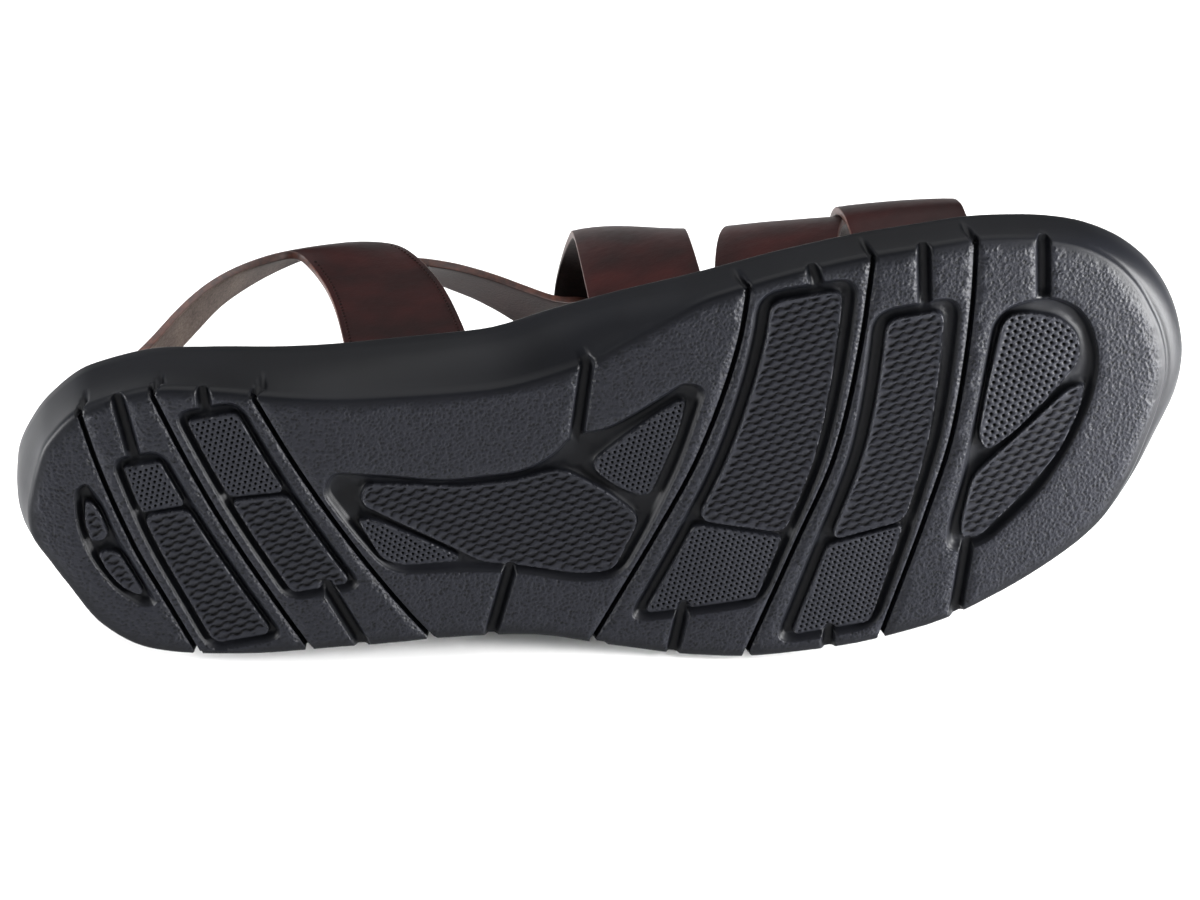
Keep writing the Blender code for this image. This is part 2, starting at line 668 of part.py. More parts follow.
def collar():
    """The strap round the heel and on over the instep."""
    length_so_far = [0.0]
    knots = [Vector((LENGTH * a, BALL_WIDTH * o, ANKLE_HEIGHT * h)) for a, o, h, _ in COLLAR]
    for knot in knots[-TUCKED:]:
        knot.z = last_height(knot.x, knot.y) - STRAP_THICKNESS
    for before, after in zip(knots, knots[1:]):
        length_so_far.append(length_so_far[-1] + (after - before).length)

    def at(run):
        return Vector([blend(length_so_far, [knot[axis] for knot in knots], run) for axis in range(3)])

    count, columns = 44, 2
    rows = []
    for i in range(count + 1):
        run = length_so_far[-1] * i / count
        step = length_so_far[-1] / count / 2
        ahead = (at(min(run + step, length_so_far[-1])) - at(max(run - step, 0))).normalized()
        lean = math.radians(blend(length_so_far, [row[3] for row in COLLAR], run))
        inward = Vector((0, 0, 1)).cross(ahead).normalized()
        upward = ahead.cross(inward).normalized()
        wide = upward * math.cos(lean) + inward * math.sin(lean)
        outside = ahead.cross(wide).normalized()
        middle = at(run) + outside * JOIN
        rows.append([middle + wide * HEEL_STRAP_WIDTH * (k / columns - 0.5) for k in range(columns + 1)])
    return sheet("collar", rows, 1)


def material(name, colour, roughness):
    made = bpy.data.materials.new(name)
    made.use_nodes = True
    shader = made.node_tree.nodes["Principled BSDF"]
    shader.inputs["Base Color"].default_value = (*colour, 1)
    shader.inputs["Roughness"].default_value = roughness
    shader.inputs["Metallic"].default_value = 0.0
    return made


def new_collection(name):
    made = bpy.data.collections.new(name)
    bpy.context.scene.collection.children.link(made)
    return made


def add_boolean(obj, operation, others, tools, name):
    """A Boolean with every object of a new collection, which holds helpers that are no part of the sandal."""
    group = bpy.data.collections.new(name)
    tools.children.link(group)
    for other in others:
        other.hide_render = True
        other.display_type = "WIRE"
        group.objects.link(other)
    modifier = obj.modifiers.new(name, "BOOLEAN")
    modifier.operation = operation
    modifier.operand_type = "COLLECTION"
    modifier.collection = group
    modifier.solver = "EXACT"


def strap_slot(strap):
    """Turns a copy of a strap, wider by the clearance, into the cutter of its slot in the footbed."""
    strap.name = strap.name.split(".")[0] + "_slot"
    wall = strap.modifiers["leather"]
    wall.thickness = STRAP_THICKNESS + 3 * CLEARANCE
    wall.offset = 1 - 2 * CLEARANCE / wall.thickness
    return strap


def resting_turn(objects):
    """The turn that lays the sandal on the rim of its sole and on its straps, outer side down.

    It rests on a face of its hull that its weight falls through and that a strap has a corner of.
    """
    graph = bpy.context.evaluated_depsgraph_get()
    hull = bmesh.new()
    strap = hull.verts.layers.int.new("strap")
    weight, moment = 0.0, Vector()
    for obj, density in objects:
        bm = bmesh.new()
        bm.from_mesh(obj.evaluated_get(graph).to_mesh())
        bmesh.ops.triangulate(bm, faces=bm.faces)
        for face in bm.faces:
            a, b, c = (vert.co for vert in face.verts)
            part = density * a.dot(b.cross(c)) / 6
            weight += part
            moment += part * (a + b + c) / 4
        for vert in bm.verts:
            hull.verts.new(vert.co)[strap] = density == LEATHER_DENSITY
        bm.free()
    centre = moment / weight
    bmesh.ops.convex_hull(hull, input=hull.verts, use_existing_faces=False)
    hull.normal_update()
    best = None
    for face in hull.faces:
        normal = face.normal.copy()
        if normal.dot(face.calc_center_median() - centre) < 0:
            normal.negate()
        foot = centre + normal * (face.verts[0].co - centre).dot(normal)
        corners = [vert.co for vert in face.verts]
        inside = {
            (after - before).cross(foot - before).dot(normal) > 0
            for before, after in zip(corners, corners[1:] + corners[:1])
        }
        on_strap = any(vert[strap] for vert in face.verts)
        if len(inside) == 1 and on_strap and (best is None or normal.y > best.y):
            best = normal
    hull.free()
    down = best
    forward = (Vector((1, 0, 0)) - down * down.x).normalized()
    side = (-down).cross(forward)
    return Matrix((forward, side, -down))


def build():
    for obj in list(bpy.data.objects):
        bpy.data.objects.remove(obj)
    sandal = new_collection("sandal")
    tools = new_collection("cutters")

    rubber = material("moulded sole rubber", (0.020, 0.021, 0.024), 0.62)
    leather = material("oiled strap leather", (0.042, 0.014, 0.013), 0.30)
    lining = material("footbed leather", (0.130, 0.062, 0.035), 0.55)

    sole = sole_blank()
    insole = insole_blank()
    toe_straps = cross_strap("ball_strap")
    toe_straps.name = "upper_toe_straps"
    ankle_straps = cross_strap("instep_strap")
    ankle_straps.name = "upper_ankle_straps"
    for obj, finish in ((sole, rubber), (insole, lining), (toe_straps, leather), (ankle_straps, leather)):
        sandal.objects.link(obj)
        obj.data.materials.append(finish)

    tread = [sipe_cutter(name) for name in SIPES]
    tread += [pocket_cutter(name) for name in POCKETS]
    tread += [shaped_pocket_cutter(name) for name in SHAPED_POCKETS]
    tread += [channel_cutter(name) for name in CHANNELS]
    add_boolean(sole, "DIFFERENCE", tread, tools, "tread_cutters")

    slots = [strap_slot(cross_strap(name, CLEARANCE)) for name in CROSS_STRAPS]
    slots += [strap_slot(quarter(name, CLEARANCE)) for name in QUARTERS]
    add_boolean(insole, "DIFFERENCE", slots, tools, "strap_slots")

    add_boolean(toe_straps, "UNION", [cross_strap("toe_strap")], tools, "crossing_strap")
    joined = [quarter("inner"), quarter("outer"), collar()]
    add_boolean(ankle_straps, "UNION", joined, tools, "sewn_straps")

    bpy.context.view_layer.update()
    weights = (
        (sole, SOLE_DENSITY),
        (insole, FOOTBED_DENSITY),
        (toe_straps, LEATHER_DENSITY),
        (ankle_straps, LEATHER_DENSITY),
    )
    turn = resting_turn(weights)
    graph = bpy.context.evaluated_depsgraph_get()
    corners = [
        turn @ vert.co for obj, _ in weights for vert in obj.evaluated_get(graph).to_mesh().vertices
    ]
    low = [min(corner[axis] for corner in corners) for axis in range(3)]
    high = [max(corner[axis] for corner in corners) for axis in range(3)]
    stand = bpy.data.objects.new("sandal_at_rest", None)
    sandal.objects.link(stand)
    stand.matrix_world = Matrix.Translation(
        (-(low[0] + high[0]) / 2, -(low[1] + high[1]) / 2, -low[2])
    ) @ turn.to_4x4()
    for obj in list(sandal.objects) + list(tools.all_objects):
        if obj != stand:
            obj.parent = stand
    for obj, _ in weights:
        obj.data.shade_smooth()
        obj.data.set_sharp_from_angle(angle=math.radians(35))


build()
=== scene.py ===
# %% [markdown]
# # A left sandal that lies on its outer side
# The sandal has a moulded black sole with a cut tread, a leather footbed and leather straps. The
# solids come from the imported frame. This script gives them their looks: a finer sole whose tread
# has soft edges and grip patterns, straps with a suede inside and cut edges, stitches and
# materials.

# %% Load the fixed frame
import json
import math

import bmesh
import bpy
import numpy as np
from mathutils import Matrix, Vector
from mathutils.geometry import delaunay_2d_cdt


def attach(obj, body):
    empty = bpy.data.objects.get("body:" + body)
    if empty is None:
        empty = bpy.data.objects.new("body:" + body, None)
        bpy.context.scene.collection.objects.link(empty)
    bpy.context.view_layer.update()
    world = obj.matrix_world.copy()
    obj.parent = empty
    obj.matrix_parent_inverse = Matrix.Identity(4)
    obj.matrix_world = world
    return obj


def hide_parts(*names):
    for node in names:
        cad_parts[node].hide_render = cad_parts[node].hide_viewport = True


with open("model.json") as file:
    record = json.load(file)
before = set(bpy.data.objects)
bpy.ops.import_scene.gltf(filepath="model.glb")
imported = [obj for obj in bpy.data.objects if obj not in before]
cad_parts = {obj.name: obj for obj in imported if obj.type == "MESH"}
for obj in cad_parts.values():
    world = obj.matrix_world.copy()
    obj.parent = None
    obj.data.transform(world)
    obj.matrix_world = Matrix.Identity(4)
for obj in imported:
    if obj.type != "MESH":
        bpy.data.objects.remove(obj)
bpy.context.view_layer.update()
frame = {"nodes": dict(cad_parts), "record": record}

MM = 0.001

# %% [markdown]
# A shoe is designed in a frame of its own: x runs from heel to toe, y to the outer side and z up
# from the ground. Everything below is made in that frame, in millimetres, and then laid down as
# the frame lies. The two flat places on the tread that the record names tell where that is.

# %% From the shoe's own frame to the floor
HEEL_MARK = Vector((42.0, 14.0, 0.0))
BALL_MARK = Vector((190.0, 20.0, 0.0))


def turned_axes(along, up):
    """Three axes as columns: along, made square to up, then sideways, then up."""
    along = (along - up * along.dot(up)).normalized()
    return Matrix((along, up.cross(along), up)).transposed()


def lay_down():
    marks = {mount["name"]: mount for mount in frame["record"]["mounts"]}
    heel, ball = (Vector(marks[name]["pos_m"]) for name in ("heel_tread", "forefoot_tread"))
    up = -Vector(marks["heel_tread"]["axis"]).normalized()
    own = turned_axes(BALL_MARK - HEEL_MARK, Vector((0, 0, 1)))
    turn = turned_axes(ball - heel, up) @ own.transposed()
    sized = turn.to_4x4() @ Matrix.Scale(MM, 4)
    return Matrix.Translation(heel) @ sized @ Matrix.Translation(-HEEL_MARK)


TO_FLOOR = lay_down()
print("ball mark lands at", [round(v, 4) for v in TO_FLOOR @ BALL_MARK])

# %% [markdown]
# ## The camera
# The photo looks at the tread from 30 degrees to the inner side, about a metre away, and is
# rolled a little so that the toe rises. The camera is set in the shoe's frame and carried along
# with it.

# %% The camera at the photo's angle
VIEW_FROM_INNER_SIDE = math.radians(30)
VIEW_ROLL = math.radians(9.7)
VIEW_DISTANCE = 1000.0
VIEW_TARGET = Vector((147.3, -3.9, 0.0))
SENSOR_WIDTH, LENS = 36, 120


def new_object(name, data):
    made = bpy.data.objects.new(name, data)
    bpy.context.scene.collection.objects.link(made)
    return made


def add_camera():
    tilt, roll = VIEW_FROM_INNER_SIDE, VIEW_ROLL
    ahead = Vector((1, 0, 0))
    inner = Vector((0, -math.cos(tilt), math.sin(tilt)))
    back = Vector((0, -math.sin(tilt), -math.cos(tilt)))
    right = ahead * math.cos(roll) - inner * math.sin(roll)
    up = ahead * math.sin(roll) + inner * math.cos(roll)
    turn = TO_FLOOR.to_3x3().normalized() @ Matrix((right, up, back)).transposed()
    camera = new_object("photo_camera", bpy.data.cameras.new("photo_camera"))
    camera.data.sensor_width = SENSOR_WIDTH
    camera.data.lens = LENS
    place = TO_FLOOR @ (VIEW_TARGET + back * VIEW_DISTANCE)
    camera.matrix_world = Matrix.Translation(place) @ turn.to_4x4()
    bpy.context.scene.camera = camera
    return camera


camera = add_camera()
print("camera stands", round(camera.location.z, 3), "m above the floor")

# %% [markdown]
# ## The form of the sole
# A sole is drawn as an outline and a side view. Both are short tables of shares of the shoe's own
# sizes, and smooth curves run through them. They are the same as in the solids, so the finer sole
# fits where the solid was.

# %% The sole's sizes and tables
LENGTH = 298.0
BALL_WIDTH = 112.0
HEEL_THICKNESS = 26.0
FOREFOOT_THICKNESS = 13.4
TOE_SPRING = 8.0
ARCH_RISE = 2.5
RIM_WALL = 3.0
CUP_DEPTH = 4.0
CLEARANCE = 0.3

OUTLINE = (
    # along, inner, outer, inner_inset, outer_inset
    (0.000, 0.071, -0.071, 0.030, 0.030),
    (0.008, 0.171, 0.009, 0.030, 0.030),
    (0.021, 0.226, 0.089, 0.020, 0.028),
    (0.044, 0.290, 0.205, 0.000, 0.020),
    (0.085, 0.347, 0.295, -0.012, 0.012),
    (0.134, 0.360, 0.337, -0.015, 0.012),
    (0.185, 0.341, 0.359, -0.008, 0.009),
    (0.252, 0.309, 0.377, 0.012, 0.008),
    (0.336, 0.284, 0.406, 0.036, 0.006),
    (0.410, 0.275, 0.440, 0.052, 0.004),
    (0.477, 0.309, 0.504, 0.066, 0.004),
    (0.544, 0.346, 0.558, 0.035, 0.004),
    (0.611, 0.373, 0.589, 0.002, 0.004),
    (0.678, 0.396, 0.598, 0.002, 0.004),
    (0.745, 0.405, 0.583, 0.002, 0.004),
    (0.812, 0.400, 0.534, 0.002, 0.005),
    (0.866, 0.378, 0.478, 0.004, 0.008),
    (0.913, 0.339, 0.411, 0.012, 0.016),
    (0.946, 0.286, 0.321, 0.024, 0.026),
    (0.973, 0.210, 0.214, 0.038, 0.038),
    (0.990, 0.125, 0.138, 0.048, 0.048),
    (1.000, -0.018, 0.018, 0.050, 0.050),
)

SIDE = (
    # along, thinning, arch, spring
    (0.000, 0.00, 0.00, 0.10),
    (0.050, 0.00, 0.00, 0.00),
    (0.265, 0.05, 0.00, 0.00),
    (0.340, 0.16, 0.70, 0.00),
    (0.410, 0.32, 1.00, 0.00),
    (0.480, 0.52, 0.85, 0.00),
    (0.545, 0.72, 0.30, 0.00),
    (0.590, 0.84, 0.00, 0.00),
    (0.680, 0.98, 0.00, 0.00),
    (0.765, 1.00, 0.00, 0.00),
    (0.860, 1.01, 0.00, 0.24),
    (0.910, 1.05, 0.00, 0.46),
    (0.960, 1.12, 0.00, 0.74),
    (1.000, 1.20, 0.00, 1.00),
)

print("sole", LENGTH, "by", BALL_WIDTH, "mm")

# %% [markdown]
# Straight pieces between the rows of a table would show as corners. So each pair of rows is
# joined by a cubic curve whose slope is chosen so that it never swings past the rows, as a bent
# batten would.

# %% Smooth curves through a table
def blend(places, values, at):
    """A smooth curve through the values that never swings past them."""
    last = len(places) - 1
    steps = [places[i + 1] - places[i] for i in range(last)]
    rates = [(values[i + 1] - values[i]) / steps[i] for i in range(last)]

    def slope(i):
        if i in (0, last):
            return rates[0] if i == 0 else rates[-1]
        before, after = rates[i - 1], rates[i]
        return 0.0 if before * after <= 0 else 2 * before * after / (before + after)

    at = min(max(at, places[0]), places[-1])
    i = max(k for k in range(last) if places[k] <= at)
    t = (at - places[i]) / steps[i]
    return (
        values[i] * (1 + 2 * t) * (1 - t) ** 2
        + slope(i) * steps[i] * t * (1 - t) ** 2
        + values[i + 1] * t * t * (3 - 2 * t)
        + slope(i + 1) * steps[i] * t * t * (t - 1)
    )


def column(table, number, along):
    return blend([row[0] for row in table], [row[number] for row in table], along)


def outline(number, along):
    """A column of the outline; the angle makes heel and toe come out round."""
    angles = [math.acos(1 - 2 * row[0]) for row in OUTLINE]
    at = math.acos(1 - 2 * min(max(along, 0), 1))
    return blend(angles, [row[number] for row in OUTLINE], at)


def tread_height(x):
    return ARCH_RISE * column(SIDE, 2, x / LENGTH) + TOE_SPRING * column(SIDE, 3, x / LENGTH)


def rim_height(x):
    thinning = column(SIDE, 1, x / LENGTH)
    return tread_height(x) + HEEL_THICKNESS + (FOREFOOT_THICKNESS - HEEL_THICKNESS) * thinning


def smooth(share):
    """Runs from 0 to 1 with soft ends."""
    share = np.clip(share, 0, 1)
    return share * share * (3 - 2 * share)


print("rim height at heel and ball", round(rim_height(20), 1), round(rim_height(205), 1))

# %% [markdown]
# ## The tread's drawing
# The tread is parted by six thin cuts. Between them lie pockets, each with a moat around two
# pads. Pads carry either overlapping scales or a field of small holes. Short channels lead from
# the pockets to the edge. Places are shares: along the length, and of the ball width to the inner
# side.

# %% The tread's tables
SIPES = {
    # its lean on the wall, then (inner side, along) from the inner edge to the outer one
    "heel_back": (
        0.28, (0.345, 0.076), (0.223, 0.080), (-0.004, 0.094), (-0.161, 0.110), (-0.321, 0.127)),
    "heel_middle": (
        0.42, (0.336, 0.140), (0.196, 0.152), (0.013, 0.171), (-0.211, 0.200), (-0.372, 0.223)),
    "heel_front": (
        0.50, (0.313, 0.219), (0.134, 0.240), (-0.071, 0.269), (-0.304, 0.308), (-0.410, 0.329)),
    "ball_back": (
        -0.28, (0.366, 0.637), (0.250, 0.624), (-0.018, 0.577), (-0.223, 0.527), (-0.480, 0.458)),
    "ball_middle": (
        -0.22, (0.366, 0.740), (0.205, 0.725), (-0.071, 0.691), (-0.304, 0.644), (-0.567, 0.589)),
    "ball_front": (
        -0.28, (0.390, 0.829), (0.241, 0.820), (-0.063, 0.792), (-0.268, 0.761), (-0.570, 0.709)),
}

POCKETS = {
    # the cuts before and after it, inner_end, outer_end, step, slope,
    # and how wide the ridges are at before_inner, before_outer, after_inner, after_outer
    "heel_pocket": (
        "heel_back", "heel_middle", 0.219, -0.312, 0.068, 0.000, 1.10, 0.90, 1.20, 1.10),
    "waist_pocket": (
        "heel_middle", "heel_front", 0.308, -0.215, 0.064, -0.010, 0.85, 0.95, 1.10, 1.40),
    "ball_pocket": (
        "ball_back", "ball_middle", 0.355, -0.437, -0.232, -0.070, 0.75, 1.90, 0.90, 0.55),
    "tip_pocket": (
        "ball_middle", "ball_front", 0.262, -0.553, -0.298, 0.020, 0.50, 1.90, 0.90, 0.65),
}
POCKET_GRIPS = {
    # grip of the inner pad, grip of the outer pad
    "heel_pocket": ("fine_holes", "scales"),
    "waist_pocket": ("fine_holes", "scales"),
    "ball_pocket": ("scales", "fine_holes"),
    "tip_pocket": ("scales", "fine_holes"),
}
MOATS = {
    # the width in mm: before the pads, after them at the inner end, after them at the outer end
    "heel_pocket": (2.0, 2.0, 2.0),
    "waist_pocket": (2.0, 2.0, 2.0),
    "ball_pocket": (3.6, 3.6, 2.2),
    "tip_pocket": (3.9, 4.0, 2.2),
}
POCKET_ROUNDING, PAD_ROUNDING = 6.0, 3.6

SHAPED_POCKETS = {
    # the pocket's corners, then each pad's grip and corners, all as (along, inner side)
    "heel_crescent": (
        (
            (0.068, 0.170), (0.077, 0.107), (0.080, 0.036), (0.090, -0.062), (0.101, -0.166),
            (0.090, -0.165), (0.072, -0.116), (0.057, -0.018), (0.053, 0.071), (0.058, 0.156),
        ),
        (
            ("scales", (
                (0.065, 0.134), (0.073, 0.089), (0.076, 0.027), (0.061, 0.018), (0.059, 0.071),
            )),
            ("scales", (
                (0.063, -0.009), (0.079, -0.013), (0.087, -0.080), (0.094, -0.143), (0.077, -0.112),
                (0.067, -0.054),
            )),
        ),
    ),
    "arch_pocket": (
        (
            (0.260, 0.045), (0.270, 0.089), (0.308, 0.058), (0.359, 0.009), (0.426, -0.004),
            (0.456, 0.027), (0.473, 0.071), (0.503, 0.071), (0.543, 0.121), (0.573, 0.165),
            (0.589, 0.143), (0.557, -0.045), (0.523, -0.196), (0.493, -0.312), (0.456, -0.308),
            (0.412, -0.259), (0.365, -0.228), (0.302, -0.196), (0.278, -0.071),
        ),
        (
            ("scales", (
                (0.295, 0.045), (0.332, 0.018), (0.376, -0.013), (0.419, -0.022), (0.459, -0.009),
                (0.493, -0.085), (0.518, -0.165), (0.488, -0.295), (0.456, -0.286), (0.412, -0.241),
                (0.379, -0.214), (0.355, -0.156), (0.325, -0.089), (0.288, 0.000),
            )),
            ("fine_holes", (
                (0.283, -0.040), (0.295, -0.049), (0.329, -0.121), (0.365, -0.201), (0.315, -0.183),
                (0.297, -0.155),
            )),
            ("fine_holes", (
                (0.483, -0.013), (0.510, 0.036), (0.543, 0.089), (0.573, 0.129), (0.560, 0.036),
                (0.528, -0.116), (0.503, -0.076),
            )),
        ),
    ),
    "toe_pocket": (
        (
            (0.835, 0.175), (0.850, 0.208), (0.884, 0.214), (0.907, 0.170), (0.917, 0.116),
            (0.921, 0.027), (0.912, -0.062), (0.892, -0.161), (0.862, -0.268), (0.832, -0.330),
            (0.805, -0.384), (0.775, -0.384), (0.777, -0.321), (0.795, -0.196), (0.815, -0.018),
        ),
        (
            ("wide_holes", (
                (0.842, 0.165), (0.850, 0.187), (0.865, 0.184), (0.892, 0.152), (0.906, 0.098),
                (0.906, 0.040), (0.886, -0.013), (0.845, -0.103), (0.817, -0.143), (0.812, -0.098),
                (0.824, 0.018),
            )),
            ("scales", (
                (0.803, -0.201), (0.822, -0.165), (0.862, -0.089), (0.892, -0.031), (0.908, -0.027),
                (0.900, -0.089), (0.880, -0.180), (0.852, -0.255), (0.825, -0.312), (0.803, -0.358),
                (0.787, -0.358), (0.789, -0.312),
            )),
        ),
    ),
}

CHANNELS = {
    # each end as (along, inner side)
    "heel_inlet": ((0.109, 0.411), (0.112, 0.205)),
    "waist_inlet": ((0.181, 0.411), (0.178, 0.295)),
    "waist_outlet": ((0.246, -0.196), (0.273, -0.430)),
    "arch_inlet": ((0.505, 0.330), (0.476, 0.058)),
    "arch_outlet": ((0.402, -0.245), (0.367, -0.460)),
    "ball_inlet": ((0.689, 0.446), (0.694, 0.348)),
    "ball_outlet": ((0.543, -0.415), (0.520, -0.590)),
    "tip_inlet": ((0.787, 0.455), (0.780, 0.255)),
    "tip_outlet": ((0.664, -0.540), (0.656, -0.650)),
    "toe_inlet": ((0.887, 0.438), (0.880, 0.222)),
    "toe_outlet": ((0.792, -0.370), (0.768, -0.616)),
}

SIPE_WIDTH, SIPE_DEPTH, SIPE_WALL = 1.5, 3.0, 0.55
MOAT_WIDTH, MOAT_DEPTH = 2.0, 2.2
PAD_WALL, POCKET_WALL, POCKET_SPREAD = 0.45, 2.1, 0.8
CHANNEL_WIDTH, CHANNEL_DEPTH, CHANNEL_WALL = 4.3, 2.6, 1.4
STEP_WIDTH = 1.5
RIDGE = 3.6
print(len(SIPES), "cuts,", len(CHANNELS), "channels,", len({**POCKETS, **SHAPED_POCKETS}),
      "pockets")

# %% [markdown]
# A pocket follows the two cuts beside it at the distance of a ridge, and so do its pads inside a
# moat. Their corners are found first, then rounded, then given points at an even spacing, so that
# the triangles along their walls come out even.

# %% From the tables to outlines
def place(along, inner):
    return LENGTH * along, -BALL_WIDTH * inner


def sipe_x(name, y):
    """How far forward a cut is where it passes y, running straight on past its ends."""
    rows = SIPES[name][:0:-1]
    inner = [row[0] for row in rows]
    along = [row[1] for row in rows]
    at = -y / BALL_WIDTH
    for end, before, beyond in ((-1, -2, at > inner[-1]), (0, 1, at < inner[0])):
        if beyond:
            rise, run = along[end] - along[before], inner[end] - inner[before]
            return LENGTH * (along[end] + (at - inner[end]) * rise / run)
    return LENGTH * blend(inner, along, at)


SIDE_SHARE = 0.47  # the most of a side that a corner's rounding may take


def rounded(corners, radius, steps=5):
    """A closed outline with each corner replaced by an arc-like curve."""
    points = []
    for k, corner in enumerate(corners):
        before, after = Vector(corners[k - 1]), Vector(corners[(k + 1) % len(corners)])
        corner = Vector(corner)
        reach = min(radius, *(SIDE_SHARE * (end - corner).length for end in (before, after)))
        start = corner + (before - corner).normalized() * reach
        end = corner + (after - corner).normalized() * reach
        for s in range(steps + 1):
            t = s / steps
            points.append(tuple(start * (1 - t) ** 2 + corner * 2 * t * (1 - t) + end * t * t))
    return points


def even(points, spacing, closed=True):
    """The same line with points at an even spacing, which makes even triangles."""
    line = [Vector(p) for p in points] + ([Vector(points[0])] if closed else [])
    runs = [0.0]
    for a, b in zip(line, line[1:]):
        runs.append(runs[-1] + (b - a).length)
    count = max(int(runs[-1] / spacing), 3)
    xs = np.interp(np.linspace(0, runs[-1], count + 1), runs, [p.x for p in line])
    ys = np.interp(np.linspace(0, runs[-1], count + 1), runs, [p.y for p in line])
    made = np.column_stack([xs, ys])
    return made[:-1] if closed else made


WALL_STEPS = 7
POCKET_SPACING, PAD_SPACING = 0.9, 0.7
INNER_MOATS = 1.5  # widths of a moat between a pocket's inner end and its first pad


def pocket_walls(row, moats, inner_end, outer_end):
    """The corners of a pocket or pad between two cuts; the ends are shares with a shift in mm."""
    before, after, top, bottom = row[:4]
    ridges = row[6:8], row[8:10]
    walls = [], []
    for k in range(WALL_STEPS + 1):
        share = k / WALL_STEPS
        for wall, (high, high_shift), (low, low_shift) in zip((0, 1), inner_end, outer_end):
            y = -BALL_WIDTH * (high + (low - high) * share)
            y = y + high_shift + (low_shift - high_shift) * share
            down = (top + y / BALL_WIDTH) / (top - bottom)
            at_inner, at_outer = ridges[wall]
            ridge = RIDGE * (at_inner + (at_outer - at_inner) * down)
            if wall == 0:
                x = sipe_x(before, y) + ridge + moats[0]
            else:
                x = sipe_x(after, y) - ridge - moats[1] - (moats[2] - moats[1]) * down
            walls[wall].append((x, y))
    return walls[0] + walls[1][::-1]


def add_pocket(corners):
    pockets.append(even(rounded(corners, POCKET_ROUNDING), POCKET_SPACING))


def add_pad(grip, corners):
    pads.append((grip, even(rounded(corners, PAD_ROUNDING), PAD_SPACING)))


pockets, pads = [], []
for name, row in POCKETS.items():
    top, bottom, step, slope = row[2:6]
    half = STEP_WIDTH / 2
    add_pocket(pocket_walls(row, (0, 0, 0), [(top, 0)] * 2, [(bottom, 0)] * 2))
    steps = [step - slope / 2, step + slope / 2]
    inner_ends = [(top, INNER_MOATS * MOAT_WIDTH)] * 2, [(at, -half) for at in steps]
    outer_ends = [(at, half) for at in steps], [(bottom, -MOAT_WIDTH)] * 2
    for grip, ends in zip(POCKET_GRIPS[name], (inner_ends, outer_ends)):
        add_pad(grip, pocket_walls(row, MOATS[name], *ends))
for corners, inner_pads in SHAPED_POCKETS.values():
    add_pocket([place(*corner) for corner in corners])
    for grip, pad_corners in inner_pads:
        add_pad(grip, [place(*corner) for corner in pad_corners])
print(len(pockets), "pockets and", len(pads), "pads")

# %% [markdown]
# ## How deep the tread is at any place
# One function gives the depth at any point: how far inside a cut, channel or moat the point is
# decides how far its wall has gone down. The deepest one wins. This is a height field, which
# keeps every wall soft without a single Boolean.

# %% Distances to outlines and lines
FAR = 1e9


def line_distance(points, line):
    """The distance of each point from an open line."""
    px, py = points[:, 0], points[:, 1]
    nearest = np.full(len(points), FAR)
    for (ax, ay), (bx, by) in zip(line, line[1:]):
        ex, ey = bx - ax, by - ay
        t = np.clip(((px - ax) * ex + (py - ay) * ey) / (ex * ex + ey * ey), 0, 1)
        nearest = np.minimum(nearest, (px - ax - t * ex) ** 2 + (py - ay - t * ey) ** 2)
    return np.sqrt(nearest)


def inside_distance(points, corners):
    """How far each point is inside a closed outline; below zero outside."""
    px, py = points[:, 0], points[:, 1]
    closed = np.vstack([corners, corners[:1]])
    inside = np.zeros(len(points), bool)
    for (ax, ay), (bx, by) in zip(closed, closed[1:]):
        if by != ay:
            inside ^= ((ay > py) != (by > py)) & (px < (bx - ax) * (py - ay) / (by - ay) + ax)
    return np.where(inside, 1, -1) * line_distance(points, closed)


def line_length(line):
    return float(np.hypot(*np.diff(line, axis=0).T).sum())


def near(points, corners, reach):
    """Which points lie in the box round some corners, widened by a reach in mm."""
    low, high = np.min(corners, axis=0) - reach, np.max(corners, axis=0) + reach
    return np.all((points > low) & (points < high), axis=1)


PAST_THE_EDGE, SIPE_POINTS = 0.10, 70
sipe_lines = {}
for name, (_, *rows) in SIPES.items():
    top_y = -BALL_WIDTH * (rows[0][0] + PAST_THE_EDGE)
    bottom_y = -BALL_WIDTH * (rows[-1][0] - PAST_THE_EDGE)
    ys = np.linspace(top_y, bottom_y, SIPE_POINTS)
    sipe_lines[name] = np.array([(sipe_x(name, y), y) for y in ys])
channel_lines = {name: np.array([place(*a), place(*b)]) for name, (a, b) in CHANNELS.items()}
print("longest cut in mm", max(round(line_length(line)) for line in sipe_lines.values()))

# %% [markdown]
# The grip on a pad is a pattern in its own turned grid. Scales overlap like roof tiles: each row
# has a scalloped edge, climbs slowly and drops at the next row. Holes sit in a staggered field.

# %% The grips' patterns
GRIP_TURN = math.radians(-9)
SCALE_LENGTH, SCALE_PITCH, SCALE_DEPTH, SCALLOP = 3.6, 1.9, 0.6, 1.1
HOLE_PITCH = {"fine_holes": 1.5, "wide_holes": 1.95}
HOLE_SHARE, HOLE_DEPTH = 0.29, 0.75
HOLE_FLOOR, HOLE_WALL = 0.62, 0.45
SCALE_DROP, SCALE_RISE = 0.18, 0.8
GRIP_MARGIN, GRIP_FADE = 0.4, 0.6


def grip_turned(points, turn=GRIP_TURN):
    x, y, c, s = points[:, 0], points[:, 1], math.cos(turn), math.sin(turn)
    return np.column_stack([x * c + y * s, y * c - x * s])


def scallop(u, row):
    """The wavy edge of a row of scales, shifted by half a scale in every other row."""
    return SCALLOP * np.abs(np.cos(np.pi * (u / SCALE_LENGTH + 0.5 * row)))


